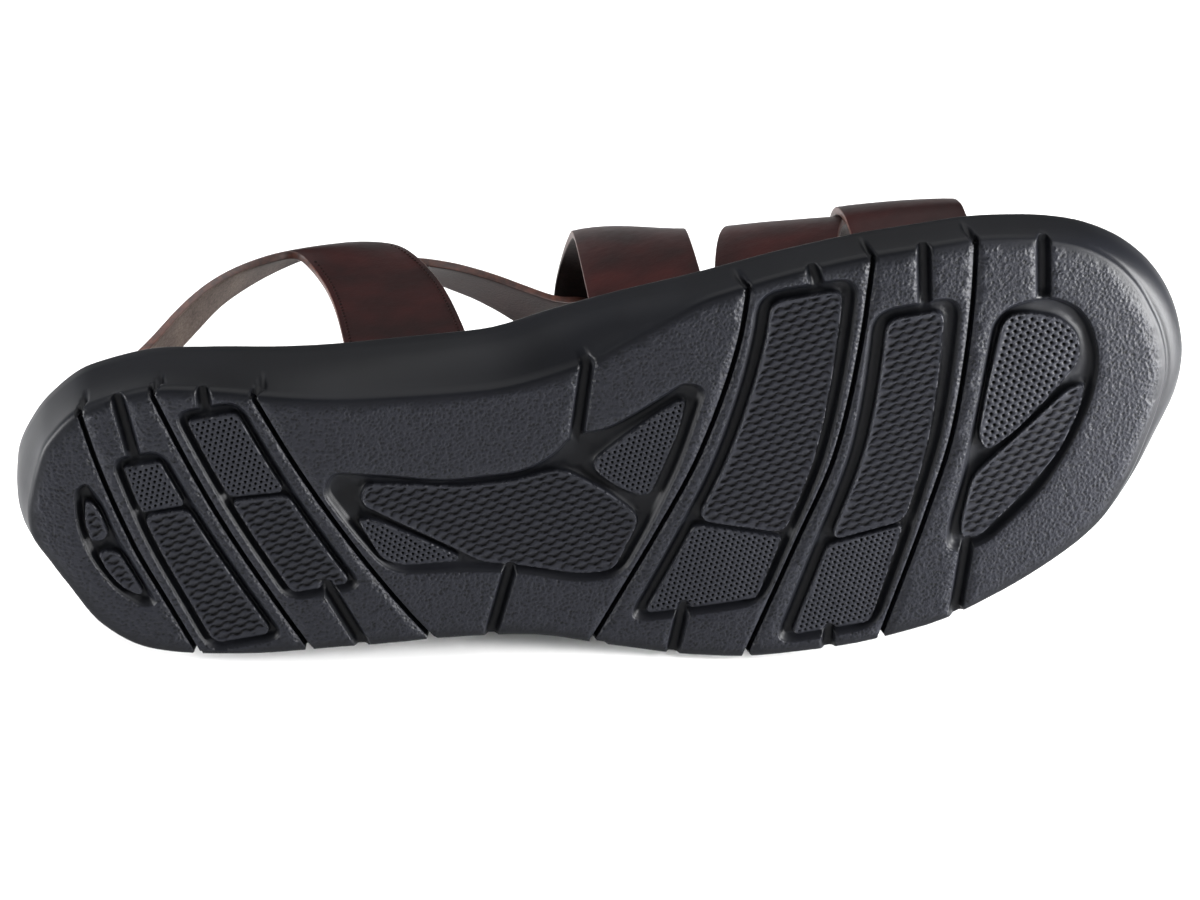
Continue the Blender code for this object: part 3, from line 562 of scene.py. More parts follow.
def scale_depth(points):
    turned = grip_turned(points)
    u, v = turned[:, 0], turned[:, 1]
    depth = np.zeros(len(points))
    base = np.floor(v / SCALE_PITCH)
    for shift in (-2, -1, 0, 1):
        row = base + shift
        low = row * SCALE_PITCH + scallop(u, row)
        high = (row + 1) * SCALE_PITCH + scallop(u, row + 1)
        share = (v - low) / (high - low)
        here = (share >= 0) & (share < 1)
        climb = smooth((share - SCALE_DROP) / (1 - SCALE_DROP)) * SCALE_RISE
        drop = np.where(share < SCALE_DROP, 1 - smooth(share / SCALE_DROP), climb)
        depth = np.where(here, SCALE_DEPTH * drop, depth)
    return depth


def hole_centres(points, pitch):
    """The nearest centre of a staggered field to each point."""
    turned = grip_turned(points)
    rise = pitch * math.sqrt(3) / 2
    best = np.full(len(points), FAR)
    for shift in (-1, 0, 1):
        row = np.round(turned[:, 1] / rise) + shift
        offset = 0.5 * (row % 2)
        cell = np.round(turned[:, 0] / pitch - offset) + offset
        best = np.minimum(best, np.hypot(turned[:, 0] - cell * pitch, turned[:, 1] - row * rise))
    return best


def hole_depth(points, pitch):
    radius = HOLE_SHARE * pitch
    past_floor = hole_centres(points, pitch) - HOLE_FLOOR * radius
    return HOLE_DEPTH * (1 - smooth(past_floor / (HOLE_WALL * radius)))


print("a scale is", SCALE_LENGTH, "by", SCALE_PITCH, "mm")

# %% [markdown]
# Now the parts of the drawing meet. Each kind has its own width, depth and soft wall, and a point
# takes the deepest of them. A pad stands up in its pocket, so it takes depth away near its
# outline.

# %% The depth of the whole tread
def groove_depth(points):
    """How deep the tread is cut at each point, without the pads' grips."""
    depth = np.zeros(len(points))
    for line in sipe_lines.values():
        at = near(points, line, 2)
        inside = SIPE_WIDTH / 2 - line_distance(points[at], line)
        depth[at] = np.maximum(depth[at], SIPE_DEPTH * smooth(inside / SIPE_WALL))
    for line in channel_lines.values():
        at = near(points, line, 3)
        inside = CHANNEL_WIDTH / 2 - line_distance(points[at], line)
        depth[at] = np.maximum(depth[at], CHANNEL_DEPTH * smooth(inside / CHANNEL_WALL))
    for pocket in pockets:
        at = near(points, pocket, 1)
        moat = smooth((inside_distance(points[at], pocket) + POCKET_SPREAD) / POCKET_WALL)
        for _, pad in pads:
            if near(pad, pocket, 1).all():
                moat = moat * smooth(-inside_distance(points[at], pad) / PAD_WALL)
        depth[at] = np.maximum(depth[at], MOAT_DEPTH * moat)
    return depth


def grip_depth(points):
    """How deep the pads' grips are at each point, and which points are on a pad."""
    depth, on_pad = np.zeros(len(points)), np.zeros(len(points))
    for grip, pad in pads:
        at = near(points, pad, 0.1)
        inside = inside_distance(points[at], pad)
        if grip == "scales":
            pattern = scale_depth(points[at])
        else:
            pattern = hole_depth(points[at], HOLE_PITCH[grip])
        depth[at] = np.maximum(depth[at], pattern * smooth((inside - GRIP_MARGIN) / GRIP_FADE))
        on_pad[at] = np.maximum(on_pad[at], inside > 0)
    return depth, on_pad


print("depth in the first cut", groove_depth(sipe_lines["heel_back"][30:31]).round(2), "mm")

# %% [markdown]
# ## The sole's skin
# The wall is a row of rings round the outline, from the cup's floor over the rim and down to the
# tread's edge. More stations stand where a cut opens in the edge. The tread itself is a
# constrained Delaunay triangulation: its lines are edges of the grooves, and the free points fill
# the rest.

# %% Stations round the outline
FINE_STEPS, PLAIN_STEP = 900, 7
DEPTH_STEP = 0.04  # a change of depth in mm that gets stations of its own
CUT_REACH, WALL_REACH, CUT_SPACING = 2.0, 10, 0.45
RINGS = (
    # share of the tread's inset, further inset, share of the wall's height, further height
    (0.00, RIM_WALL, 1.00, -CUP_DEPTH),
    (0.00, RIM_WALL, 1.00, -0.40),
    (0.00, RIM_WALL - 0.4, 1.00, 0.00),
    (0.00, 0.90, 1.00, 0.00),
    (0.00, 0.25, 1.00, -0.25),
    (0.00, 0.00, 1.00, -0.90),
    (0.02, 0.00, 0.82, 0.00),
    (0.06, 0.00, 0.66, 0.00),
    (0.15, 0.00, 0.50, 0.00),
    (0.38, 0.00, 0.34, 0.00),
    (0.66, 0.00, 0.21, 0.00),
    (0.88, 0.00, 0.10, 0.60),
    (1.00, 0.00, 0.00, 1.60),
    (1.00, 0.25, 0.00, 0.75),
    (1.00, 0.70, 0.00, 0.20),
    (1.00, 1.40, 0.00, 0.00),
)


def loop_places(alongs):
    """The rim's places round the closed loop: the inner side to the toe, the outer side back."""
    inner = [(LENGTH * a, -BALL_WIDTH * outline(1, a)) for a in alongs]
    outer = [(LENGTH * a, BALL_WIDTH * outline(2, a)) for a in alongs[-2:0:-1]]
    return np.array(inner + outer)


def moved_in(loop, depth):
    """The loop moved inward by a depth at each of its points."""
    run = np.roll(loop, -1, axis=0) - np.roll(loop, 1, axis=0)
    run /= np.linalg.norm(run, axis=1)[:, None]
    return loop + np.column_stack([-run[:, 1], run[:, 0]]) * np.asarray(depth)[:, None]


def tread_insets(alongs):
    inner = [BALL_WIDTH * outline(3, a) for a in alongs]
    outer = [BALL_WIDTH * outline(4, a) for a in alongs[-2:0:-1]]
    return np.array(inner + outer)


def choose_stations():
    """Even stations, and close ones where a cut or channel meets the edge or leans on the wall."""
    fine = (1 - np.cos(np.pi * np.arange(FINE_STEPS + 1) / FINE_STEPS)) / 2
    edge = moved_in(loop_places(fine), tread_insets(fine) + RINGS[-1][1])
    depth = groove_depth(edge)
    busy = set()
    for k in np.nonzero(np.abs(depth - np.roll(depth, 1)) > DEPTH_STEP)[0]:
        for near_k in (k - 1, k, k + 1):
            busy.add(near_k if near_k <= FINE_STEPS else 2 * FINE_STEPS - near_k)
    crossings = []
    for name, (lean, *_) in SIPES.items():
        distance = line_distance(edge, sipe_lines[name])
        inner_k = int(np.argmin(distance[:FINE_STEPS]))
        outer_k = FINE_STEPS + int(np.argmin(distance[FINE_STEPS:]))
        crossings += [(edge[inner_k][0], -1, lean), (edge[outer_k][0], 1, 0.0)]
        for shift in np.arange(-CUT_REACH, CUT_REACH + WALL_REACH * abs(lean), CUT_SPACING):
            x = edge[inner_k][0] + shift * (1 if lean >= 0 else -1)
            busy.add(int(np.argmin(np.abs(fine * LENGTH - x))))
    kept = sorted(busy | set(range(0, FINE_STEPS + 1, PLAIN_STEP)) | {FINE_STEPS})
    return fine[[k for k in kept if 0 <= k <= FINE_STEPS]], crossings


alongs, crossings = choose_stations()
rim_loop = loop_places(alongs)
insets = tread_insets(alongs)
station_x = rim_loop[:, 0]
low_z = np.array([tread_height(x) for x in station_x])
high_z = np.array([rim_height(x) for x in station_x])
print(len(alongs), "stations from heel to toe")

# %% [markdown]
# Each ring is the rim's loop moved inward and set at a height. Where a cut reaches the edge, it
# runs on up the wall, leaning, and fades out: 9 mm up on the inner side and 5 mm on the outer
# one.

# %% The wall's rings, with the cuts running up them
CUT_ON_WALL = {-1: 9.0, 1: 5.0}
CUT_IN_WALL = 1.8
CUT_NARROWING, CUT_MARGIN = 0.9, 0.1


def wall_rings():
    edge = moved_in(rim_loop, insets + RINGS[-1][1])
    opened = groove_depth(edge)
    side = np.where(np.arange(len(rim_loop)) < len(alongs), -1, 1)
    rings = []
    for share, more, level, lift in RINGS:
        flat = insets * share + more
        z = low_z + (high_z - low_z) * level + lift
        if level < 1:
            above = z - low_z
            for x, cut_side, lean in crossings:
                off = np.abs(station_x - x - lean * above)
                fade = 1 - smooth((above / CUT_ON_WALL[cut_side] - 0.5) / 0.5)
                inside = SIPE_WIDTH / 2 - CUT_NARROWING * off + CUT_MARGIN
                flat = flat + CUT_IN_WALL * (smooth(inside / SIPE_WALL) * fade) * (side == cut_side)
            z = np.maximum(z, low_z + opened)
        rings.append(np.column_stack([moved_in(rim_loop, flat), z]))
    rings[-1] = np.column_stack([edge, low_z + opened])
    return rings


rings = wall_rings()
print(len(rings), "rings of", len(rings[0]), "points")

# %% [markdown]
# A wall of a groove is only crisp if triangles meet along it. So lines run beside every cut,
# channel, pocket and pad, at distances in mm that lie on the wall's top, slope and foot, and the
# triangulation keeps them as edges. The grips get points of their own, and a plain grid fills
# what is left.

# %% The tread's points and lines
BESIDE_SIPE = (-0.75, -0.48, -0.2, 0.2, 0.48, 0.75)
BESIDE_CHANNEL = (-2.15, -1.7, -1.2, -0.75, 0.75, 1.2, 1.7, 2.15)
BESIDE_POCKET = (-0.8, -0.3, 0.25, 0.8, 1.3)
BESIDE_PAD = (-0.3, 0.0, 0.22, 0.45)
LINE_SPACING = 1.2
SCALE_SPACING, SCALE_SHARES = 0.6, (0.02, 0.18, 0.5, 0.9)
HOLE_RINGS = ((0.62, 6), (1.1, 8))
IN_PAD, IN_EDGE = 0.55, 0.3
GRID, GRID_IN_EDGE, GRID_CLEAR, GRID_WIDTH = 2.6, 1.2, 0.8, 0.62


def offset_loop(loop, depth):
    return moved_in(loop, np.full(len(loop), depth))


def points_inward(loop):
    """1 where a positive offset moves the loop inward, else -1."""
    return 1 if inside_distance(offset_loop(loop, 0.4), loop).mean() > 0 else -1


def loop_lines():
    """Every line that the triangulation keeps: the edges and feet of all walls."""
    lines = []
    for line in sipe_lines.values():
        centre = even([tuple(p) for p in line], LINE_SPACING, closed=False)
        run = np.gradient(centre, axis=0)
        run /= np.linalg.norm(run, axis=1)[:, None]
        aside = np.column_stack([-run[:, 1], run[:, 0]])
        lines += [(centre + aside * shift, False) for shift in BESIDE_SIPE]
    for line in channel_lines.values():
        centre = even([tuple(p) for p in line], LINE_SPACING, closed=False)
        run = line[1] - line[0]
        aside = np.array([-run[1], run[0]])
        aside = aside / np.linalg.norm(aside)
        lines += [(centre + aside * shift, False) for shift in BESIDE_CHANNEL]
    for pocket in pockets:
        turn = points_inward(pocket)
        lines += [(offset_loop(pocket, turn * depth), True) for depth in BESIDE_POCKET]
    for _, pad in pads:
        turn = -points_inward(pad)
        lines += [(offset_loop(pad, turn * depth), True) for depth in BESIDE_PAD]
    return lines


def grip_points(grip, pad):
    """The points that draw a grip: four lines to a row of scales, two rings to a hole."""
    turned = grip_turned(pad)
    (low_u, low_v), (high_u, high_v) = turned.min(axis=0) - 1, turned.max(axis=0) + 1
    made = []
    if grip == "scales":
        u = np.arange(low_u, high_u, SCALE_SPACING)
        for row in range(int(low_v / SCALE_PITCH) - 2, int(high_v / SCALE_PITCH) + 2):
            low = row * SCALE_PITCH + scallop(u, row)
            high = (row + 1) * SCALE_PITCH + scallop(u, row + 1)
            made += [np.column_stack([u, low + (high - low) * share]) for share in SCALE_SHARES]
    else:
        pitch = HOLE_PITCH[grip]
        rise = pitch * math.sqrt(3) / 2
        for row in range(int(low_v / rise) - 1, int(high_v / rise) + 2):
            cells = np.arange(int(low_u / pitch) - 1, int(high_u / pitch) + 2)
            u = (cells + 0.5 * (row % 2)) * pitch
            centres = np.column_stack([u, np.full(len(u), row * rise)])
            made.append(centres)
            for radius, count in HOLE_RINGS:
                reach = radius * HOLE_SHARE * pitch
                for k in range(count):
                    angle = 2 * math.pi * k / count
                    made.append(centres + reach * np.array([math.cos(angle), math.sin(angle)]))
    points = grip_turned(np.vstack(made), -GRIP_TURN)
    return points[inside_distance(points, pad) > IN_PAD]


def tread_mesh(edge):
    """The tread's points, triangles and each point's origin, inside an edge that the wall shares.
    """
    points = [tuple(p) for p in edge]
    edges = [(k, (k + 1) % len(edge)) for k in range(len(edge))]
    walls = []
    for line, closed in loop_lines():
        kept = inside_distance(line, edge) > IN_EDGE
        index = {k: len(points) + n for n, k in enumerate(np.nonzero(kept)[0])}
        points += [tuple(p) for p in line[kept]]
        walls.append(line[kept])
        pairs = [(k, (k + 1) % len(line)) for k in range(len(line) if closed else len(line) - 1)]
        edges += [(index[a], index[b]) for a, b in pairs if a in index and b in index]
    wall_points = np.vstack(walls)
    across = np.arange(-BALL_WIDTH / 2, BALL_WIDTH * GRID_WIDTH, GRID)
    xs, ys = (line.ravel() for line in np.meshgrid(np.arange(2.0, LENGTH, GRID), across))
    grid = np.column_stack([xs + GRID / 2 * (np.round(ys / GRID) % 2), ys])
    grid = grid[inside_distance(grid, edge) > GRID_IN_EDGE]
    gaps = [np.min(np.sum((wall_points - p) ** 2, axis=1)) for p in grid]
    grid = grid[np.array(gaps) > GRID_CLEAR]
    free = [grip_points(grip, pad) for grip, pad in pads] + [grid[grip_depth(grid)[1] == 0]]
    points += [tuple(p) for p in np.vstack(free)]
    out = delaunay_2d_cdt([Vector(p) for p in points], edges, [], 0, 1e-5)
    flat = np.array([tuple(p) for p in out[0]])
    faces = np.array([f for f in out[2] if len(f) == 3])
    faces = faces[inside_distance(flat[faces].mean(axis=1), edge) > 0]
    return flat, faces, out[3]


flat, tread_faces, origins = tread_mesh(rings[-1][:, :2])
print(len(flat), "tread points,", len(tread_faces), "triangles")

# %% [markdown]
# The last ring is the tread's own edge, so wall and tread share its points and the skin is
# closed. Three attributes go with the points and tell the material where it is: on a flat with a
# pebble grain, on a pad, and how deep in the pad's grip, which the material paints as shade.

# %% Join wall, rim, cup and tread in one mesh
GRAIN_FADE, EDGE_FADE = 0.3, 0.8


def sole_mesh():
    count = len(rim_loop)
    cup_rows, wall_points = len(rings), np.vstack(rings[:-1])
    grooves = groove_depth(flat)
    grips, on_pad = grip_depth(flat)
    ground = np.array([tread_height(x) for x in flat[:, 0]])
    tread_points = np.column_stack([flat, ground + grooves + grips])
    verts = np.vstack([wall_points, tread_points])
    first = len(wall_points)
    shared = [(old, first + new) for new, olds in enumerate(origins) for old in olds if old < count]
    edge_index = dict(shared)
    for k, index in edge_index.items():
        verts[index] = rings[-1][k]
    faces = []
    for row in range(cup_rows - 1):
        for k in range(count):
            after = (k + 1) % count
            if row < cup_rows - 2:
                below = (row + 1) * count + after, (row + 1) * count + k
            else:
                below = edge_index[after], edge_index[k]
            faces.append((row * count + k, row * count + after, *below))
    for i in range(len(alongs) - 1):
        corners = (i, i + 1, (count - i - 1) % count, (count - i) % count)
        unique = tuple(dict.fromkeys(corners))
        if len(unique) > 2:
            faces.append(unique)
    faces += [tuple(int(v) + first for v in face) for face in tread_faces]
    mesh = bpy.data.meshes.new("sole_moulding")
    mesh.from_pydata([tuple(v) for v in verts], [], faces)
    edge_gap = inside_distance(flat, rings[-1][:, :2])
    off_pad = (1 - smooth(grooves / GRAIN_FADE)) * (1 - on_pad)
    flatness = off_pad * smooth((edge_gap + 0.1) / EDGE_FADE)
    for label, values in (("grain", flatness), ("pad", on_pad), ("grip_hollow_shade", grips / SCALE_DEPTH)):
        layer = mesh.attributes.new(label, "FLOAT", "POINT")
        values = np.concatenate([np.zeros(first), values])
        layer.data.foreach_set("value", values.astype(np.float32))
    bm = bmesh.new()
    bm.from_mesh(mesh)
    bmesh.ops.remove_doubles(bm, verts=bm.verts, dist=1e-4)
    bmesh.ops.recalc_face_normals(bm, faces=bm.faces)
    bm.to_mesh(mesh)
    open_edges = sum(len(edge.link_faces) != 2 for edge in bm.edges)
    bm.free()
    mesh.transform(TO_FLOOR)
    mesh.shade_smooth()
    print("sole faces", len(mesh.polygons), "open edges", open_edges)
    return mesh


def new_piece(name, mesh, slot, *nodes):
    """An object that rides on the sandal and stands for the nodes named."""
    piece = new_object(name, mesh)
    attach(piece, "root")
    if nodes:
        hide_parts(*nodes)
    return piece


sole = new_piece("sole_moulding", sole_mesh(), "sole_rubber", "sole")

# %% [markdown]
# ## The straps
# Each strap is a flat strip of 2.2 mm leather that bends over the foot. It is made as a surface
# of rows along its run and given its thickness by Solidify, which also puts suede on the inside
# and a dark finish on the cut edges. A small bevel rounds the edges as the leather worker's tool
# does.

# %% The straps' sizes and tables
INSTEP_HEIGHT = 100.0
ANKLE_HEIGHT = 98.0
STRAP_THICKNESS = 2.2
JOIN = 0.5
QUARTER_WIDTH = 29.0
HEEL_STRAP_WIDTH = 15.0
QUARTER_LEAN = 4.0

LAST = (
    # along, crown, lean, fullness
    (0.38, 1.05, 0.05, 2.3),
    (0.50, 1.01, 0.06, 2.4),
    (0.60, 0.79, 0.06, 2.5),
    (0.70, 0.61, 0.05, 2.6),
    (0.84, 0.455, 0.03, 2.8),
)
CROSS_STRAPS = {
    # width, inner_end, shoulder, crown, outer_end, layers
    "ball_strap": (31.0, 0.665, 0.695, 0.735, 0.782, 0.0),
    "toe_strap": (29.0, 0.782, 0.770, 0.720, 0.628, 1.0),
    "instep_strap": (28.5, 0.556, 0.549, 0.507, 0.440, 0.0),
}
QUARTERS = {
    "inner": (
        # rise, middle, width
        (0.00, 0.3450, 1.00),
        (0.35, 0.3390, 1.00),
        (0.60, 0.3290, 1.00),
        (0.78, 0.3160, 0.98),
        (0.88, 0.3060, 0.92),
    ),
    "outer": (
        (0.00, 0.3550, 1.00),
        (0.35, 0.3500, 0.98),
        (0.60, 0.3440, 0.96),
        (0.78, 0.3380, 0.96),
        (0.88, 0.3330, 0.94),
    ),
}
COLLAR = (
    # along, outer, height, lean
    (0.368, 0.347, 0.860, 0),
    (0.325, 0.335, 0.890, 4),
    (0.260, 0.320, 0.850, 18),
    (0.180, 0.280, 0.710, 34),
    (0.110, 0.205, 0.610, 36),
    (0.062, 0.105, 0.560, 28),
    (0.042, -0.020, 0.550, 24),
    (0.056, -0.105, 0.550, 30),
    (0.094, -0.155, 0.565, 40),
    (0.137, -0.194, 0.626, 52),
    (0.174, -0.238, 0.727, 54),
    (0.202, -0.250, 0.812, 48),
    (0.236, -0.254, 0.882, 30),
    (0.266, -0.246, 0.912, 14),
    (0.298, -0.237, 0.926, 8),
    (0.330, -0.206, 0.930, 14),
    (0.367, -0.153, 0.928, 36),
    (0.392, -0.112, 0.930, 46),
    (0.418, -0.067, 0.934, 50),
    (0.436, -0.029, 0.939, 54),
    (0.462, 0.030, 0.948, 64),
    (0.494, 0.090, 0.938, 78),
    (0.522, 0.132, 0.930, 78),
)
TUCKED = 2
print(len(CROSS_STRAPS), "straps over the foot, and a collar of", len(COLLAR), "knots")

# %% [markdown]
# A shoemaker bends the straps over a last, the wooden form of a foot. Here the last is a rule:
# for a place along the shoe and a turn over the foot it gives a point. It starts and ends at the
# seats, where a strap goes down between the footbed and the rim's wall.

# %% The last that the straps bend over
RAISE_RATE, RAISE_START = 6, 0.35
seat_line = moved_in(rim_loop, np.full(len(rim_loop), RIM_WALL + CLEARANCE + STRAP_THICKNESS))
seat_inner = seat_line[: len(alongs)]
seat_outer = np.vstack([seat_line[0], seat_line[len(alongs):][::-1], seat_line[len(alongs) - 1]])


def seat_height(x):
    return rim_height(x) - CUP_DEPTH + CLEARANCE


def seat_y(side, x):
    """The inner face of a strap where it stands in the cup against the rim's wall."""
    line = seat_inner if side < 0 else seat_outer
    return float(np.interp(x, line[:, 0], line[:, 1]))


def power(value, exponent):
    return math.copysign(abs(value) ** exponent, value)


def last_point(x, turn, above):
    """A point of the last; turn goes from 0 at the inner seat over the crown to 1 at the outer."""
    along = x / LENGTH
    inner, outer, low = seat_y(-1, x), seat_y(1, x), seat_height(x)
    crown = INSTEP_HEIGHT * column(LAST, 1, along) - STRAP_THICKNESS
    lean = BALL_WIDTH * column(LAST, 2, along)
    exponent = 2 / column(LAST, 3, along)
    angle = math.pi * turn
    raised = above * min(1.0, max(0.0, RAISE_RATE * math.sin(angle) - RAISE_START))
    half = (outer - inner) / 2 + raised
    y = (outer + inner) / 2 - half * power(math.cos(angle), exponent) - lean * math.sin(angle) ** 2
    z = low + (crown - low + raised) * power(math.sin(angle), exponent)
    return Vector((x, y, z))


def last_height(x, y):
    """The last's height above a place, found by halving the turn again and again."""
    low, high = 0.0, 1.0
    for _ in range(30):
        middle = (low + high) / 2
        low, high = (middle, high) if last_point(x, middle, 0.0).y < y else (low, middle)
    return last_point(x, low, 0.0).z


print("the last's crown at the instep in mm", round(last_height(LENGTH * 0.5, 0.0)))

# %% [markdown]
# Every strap is made by one function from its rows. Solidify gives the sheet its 2.2 mm to the
# outer side and its own material on each side and on the rim. A bow of a few tenths of a
# millimetre across the strap keeps it from looking like a cut sheet of card.

# %% A leather strip from rows of points
EDGE_ROUNDING, EDGE_ANGLE = 0.4, math.radians(50)
LEATHER_SLOTS = ("glossy strap leather", "strap suede", "dark strap edge")
leather_looks = [bpy.data.materials.new(name) for name in LEATHER_SLOTS]


def made_plain(raw):
    """The mesh that an object's modifiers give; the object itself is removed."""
    bpy.context.view_layer.update()
    evaluated = raw.evaluated_get(bpy.context.evaluated_depsgraph_get())
    finished = bpy.data.meshes.new_from_object(evaluated)
    bpy.data.objects.remove(raw)
    finished.shade_smooth()
    return finished


def way_ahead(rows, i):
    """From the row before to the row after, along the strip's first edge."""
    return rows[min(i + 1, len(rows) - 1)][0] - rows[max(i - 1, 0)][0]


def leather_strip(name, rows, outward, bow=0.35):
    """A strip with its thickness on the outer side; its middle stands proud by the bow in mm."""
    bm = bmesh.new()
    verts = []
    for i, row in enumerate(rows):
        out = (row[-1] - row[0]).cross(way_ahead(rows, i)).normalized() * outward
        arch = [math.sin(math.pi * k / (len(row) - 1)) for k in range(len(row))]
        verts.append([bm.verts.new(point + out * bow * rise) for point, rise in zip(row, arch)])
    for row, after in zip(verts, verts[1:]):
        for k in range(len(row) - 1):
            corners = (row[k], row[k + 1], after[k + 1], after[k])
            bm.faces.new(corners if outward > 0 else corners[::-1])
    mesh = bpy.data.meshes.new(name)
    bm.to_mesh(mesh)
    bm.free()
    for look in leather_looks:
        mesh.materials.append(look)
    mesh.shade_smooth()
    raw = new_object(name + "_raw", mesh)
    wall = raw.modifiers.new("leather", "SOLIDIFY")
    wall.thickness = STRAP_THICKNESS
    wall.offset = 1
    wall.use_even_offset = True
    wall.material_offset = 1
    wall.material_offset_rim = 2
    edge = raw.modifiers.new("rounded edge", "BEVEL")
    edge.width = EDGE_ROUNDING
    edge.segments = 3
    edge.limit_method = "ANGLE"
    edge.angle_limit = EDGE_ANGLE
    finished = made_plain(raw)
    finished.transform(TO_FLOOR)
    return finished


CROSS_ROWS, WIDE_COLUMNS = 72, 10
CROSS_TURNS = (0.0, 0.3, 0.6, 1.0)
LAYER_GAP = 0.15


def cross_strap(name):
    """A strap over the foot, from seat to seat."""
    width, inner, shoulder, crown, outer, layers = CROSS_STRAPS[name]
    above = layers * (STRAP_THICKNESS + LAYER_GAP)
    rows = []
    for i in range(CROSS_ROWS + 1):
        turn = i / CROSS_ROWS
        middle = LENGTH * blend(CROSS_TURNS, (inner, shoulder, crown, outer), turn)
        xs = [middle + width * (k / WIDE_COLUMNS - 0.5) for k in range(WIDE_COLUMNS + 1)]
        rows.append([last_point(x, turn, above) for x in xs])
    return leather_strip(name, rows, 1)


toe_pieces = "strap_leather", "upper_toe_straps"
ankle_pieces = "strap_leather", "upper_ankle_straps"
ball_strap = new_piece("ball_strap", cross_strap("ball_strap"), *toe_pieces)
toe_strap = new_piece("toe_strap", cross_strap("toe_strap"), *toe_pieces)
instep_strap = new_piece("instep_strap", cross_strap("instep_strap"), *ankle_pieces)
print("cross straps", [len(o.data.polygons) for o in (ball_strap, toe_strap, instep_strap)])

# %% [markdown]
# The inner quarter and the heel strap are one piece of leather. It stands up beside the ankle,
# turns back in a tight curve and runs round the heel. So it is made between two edge lines, the
# inside and the outside of that turn. The strap over the instep is a second piece that comes out
# from under it.

# %% The collar's run
SLOPE_REACH, COLUMNS = 3, 8


def collar_knots():
    knots = [Vector((LENGTH * a, BALL_WIDTH * o, ANKLE_HEIGHT * h)) for a, o, h, _ in COLLAR]
    for knot in knots[-TUCKED:]:
        knot.z = last_height(knot.x, knot.y) - STRAP_THICKNESS
    return knots


knots = collar_knots()
runs = [0.0]
for before, after in zip(knots, knots[1:]):
    runs.append(runs[-1] + (after - before).length)


def on_collar(run):
    run = min(max(run, 0), runs[-1])
    return Vector([blend(runs, [knot[axis] for knot in knots], run) for axis in range(3)])


def collar_row(run, inward_shift):
    """A row across the collar: its points from the lower to the upper edge."""
    ahead = (on_collar(run + SLOPE_REACH) - on_collar(run - SLOPE_REACH)).normalized()
    lean = math.radians(blend(runs, [row[3] for row in COLLAR], run))
    inward = Vector((0, 0, 1)).cross(ahead).normalized()
    upward = ahead.cross(inward).normalized()
    wide = upward * math.cos(lean) + inward * math.sin(lean)
    outside = ahead.cross(wide).normalized()
    middle = on_collar(run) + outside * (JOIN - inward_shift)
    shares = [k / COLUMNS - 0.5 for k in range(COLUMNS + 1)]
    return [middle + wide * HEEL_STRAP_WIDTH * share for share in shares]


print("collar length in mm", round(runs[-1]))


# %% Rows of the quarters, and smooth lines through points
def quarter_point(side, x, rise):
    low = seat_height(x)
    y = seat_y(side, x) - side * QUARTER_LEAN * rise**2
    return Vector((x, y, low + (ANKLE_HEIGHT - low) * rise))


def quarter_row(name, rise):
    side = -1 if name == "inner" else 1
    middle = LENGTH * column(QUARTERS[name], 1, rise)
    width = QUARTER_WIDTH * column(QUARTERS[name], 2, rise)
    xs = [middle + width * (k / COLUMNS - 0.5) for k in range(COLUMNS + 1)]
    return [quarter_point(side, x, rise) for x in xs]


def through(points, steps):
    """A smooth line through points in space, with some steps between each two."""
    line = []
    for k in range(len(points) - 1):
        a, b, c, d = (points[min(max(k + j, 0), len(points) - 1)] for j in (-1, 0, 1, 2))
        for t in (s / steps for s in range(steps)):
            low_bend, high_bend = 2 * a - 5 * b + 4 * c - d, 3 * b - a - 3 * c + d
            line.append(0.5 * (2 * b + (c - a) * t + low_bend * t * t + high_bend * t**3))
    return line + [points[-1]]


def softened(line, reach):
    """The line with each point moved to the mean of its neighbours, fewer of them near the ends."""
    made = []
    for k in range(len(line)):
        span = min(reach, k, len(line) - 1 - k)
        made.append(sum(line[k - span:k + span + 1], Vector((0, 0, 0))) / (2 * span + 1))
    return made


outer_foot = quarter_row("outer", 0)
print("outer quarter's width in mm", round((outer_foot[-1] - outer_foot[0]).length, 1))

# %% [markdown]
# The turn at the top of the inner quarter is too tight for rows of one width: its inside edge
# bends round a small radius and its outside edge round a large one. So the two edges are given as
# points, and the rows are drawn straight from one edge to the other.

# %% The inner quarter and the heel strap
QUARTER_TURN = (
    # the inside of the turn, then the outside, in mm
    ((79.8, -26.9, 79.0), (105.8, -22.8, 86.5)),
    ((78.4, -28.0, 82.0), (102.0, -21.8, 92.6)),
    ((76.4, -29.2, 83.4), (95.9, -22.0, 96.0)),
    ((73.6, -30.2, 82.2), (86.5, -23.4, 95.8)),
    ((69.0, -31.0, 79.2), (76.0, -23.6, 93.4)),
)
QUARTER_RISES = (0.0, 0.2, 0.4, 0.56, 0.7)
# knots of the collar: where its sewn end is free, the heel strap's middle and its start,
# and the three about the start of the instep tie
SEWN_KNOT, FREE_KNOT, HEEL_KNOT, TURN_KNOT = 1, 3, 8, 11
HIDDEN_KNOT, TIE_KNOT, OPEN_KNOT = 14, 15, 16
FLARE_END = 0.5
FRONT_FLARE = 2.3
HEEL_SWELL = 0.7
HEEL_TAPER = 0.16
HEEL_SWELL_WAY = Vector((-0.58, -0.71, 0.41))
HEEL_ROWS, TIE_ROWS, OUTER_ROWS = 22, 44, 24
SEWN_GAP = 0.1
BETWEEN_KNOTS, SOFTENING = 5, 5
QUARTER_BOW = 0.2
TIE_UNDER, TIE_TUCK = 4, 0.8
OUTER_RISE = 0.88


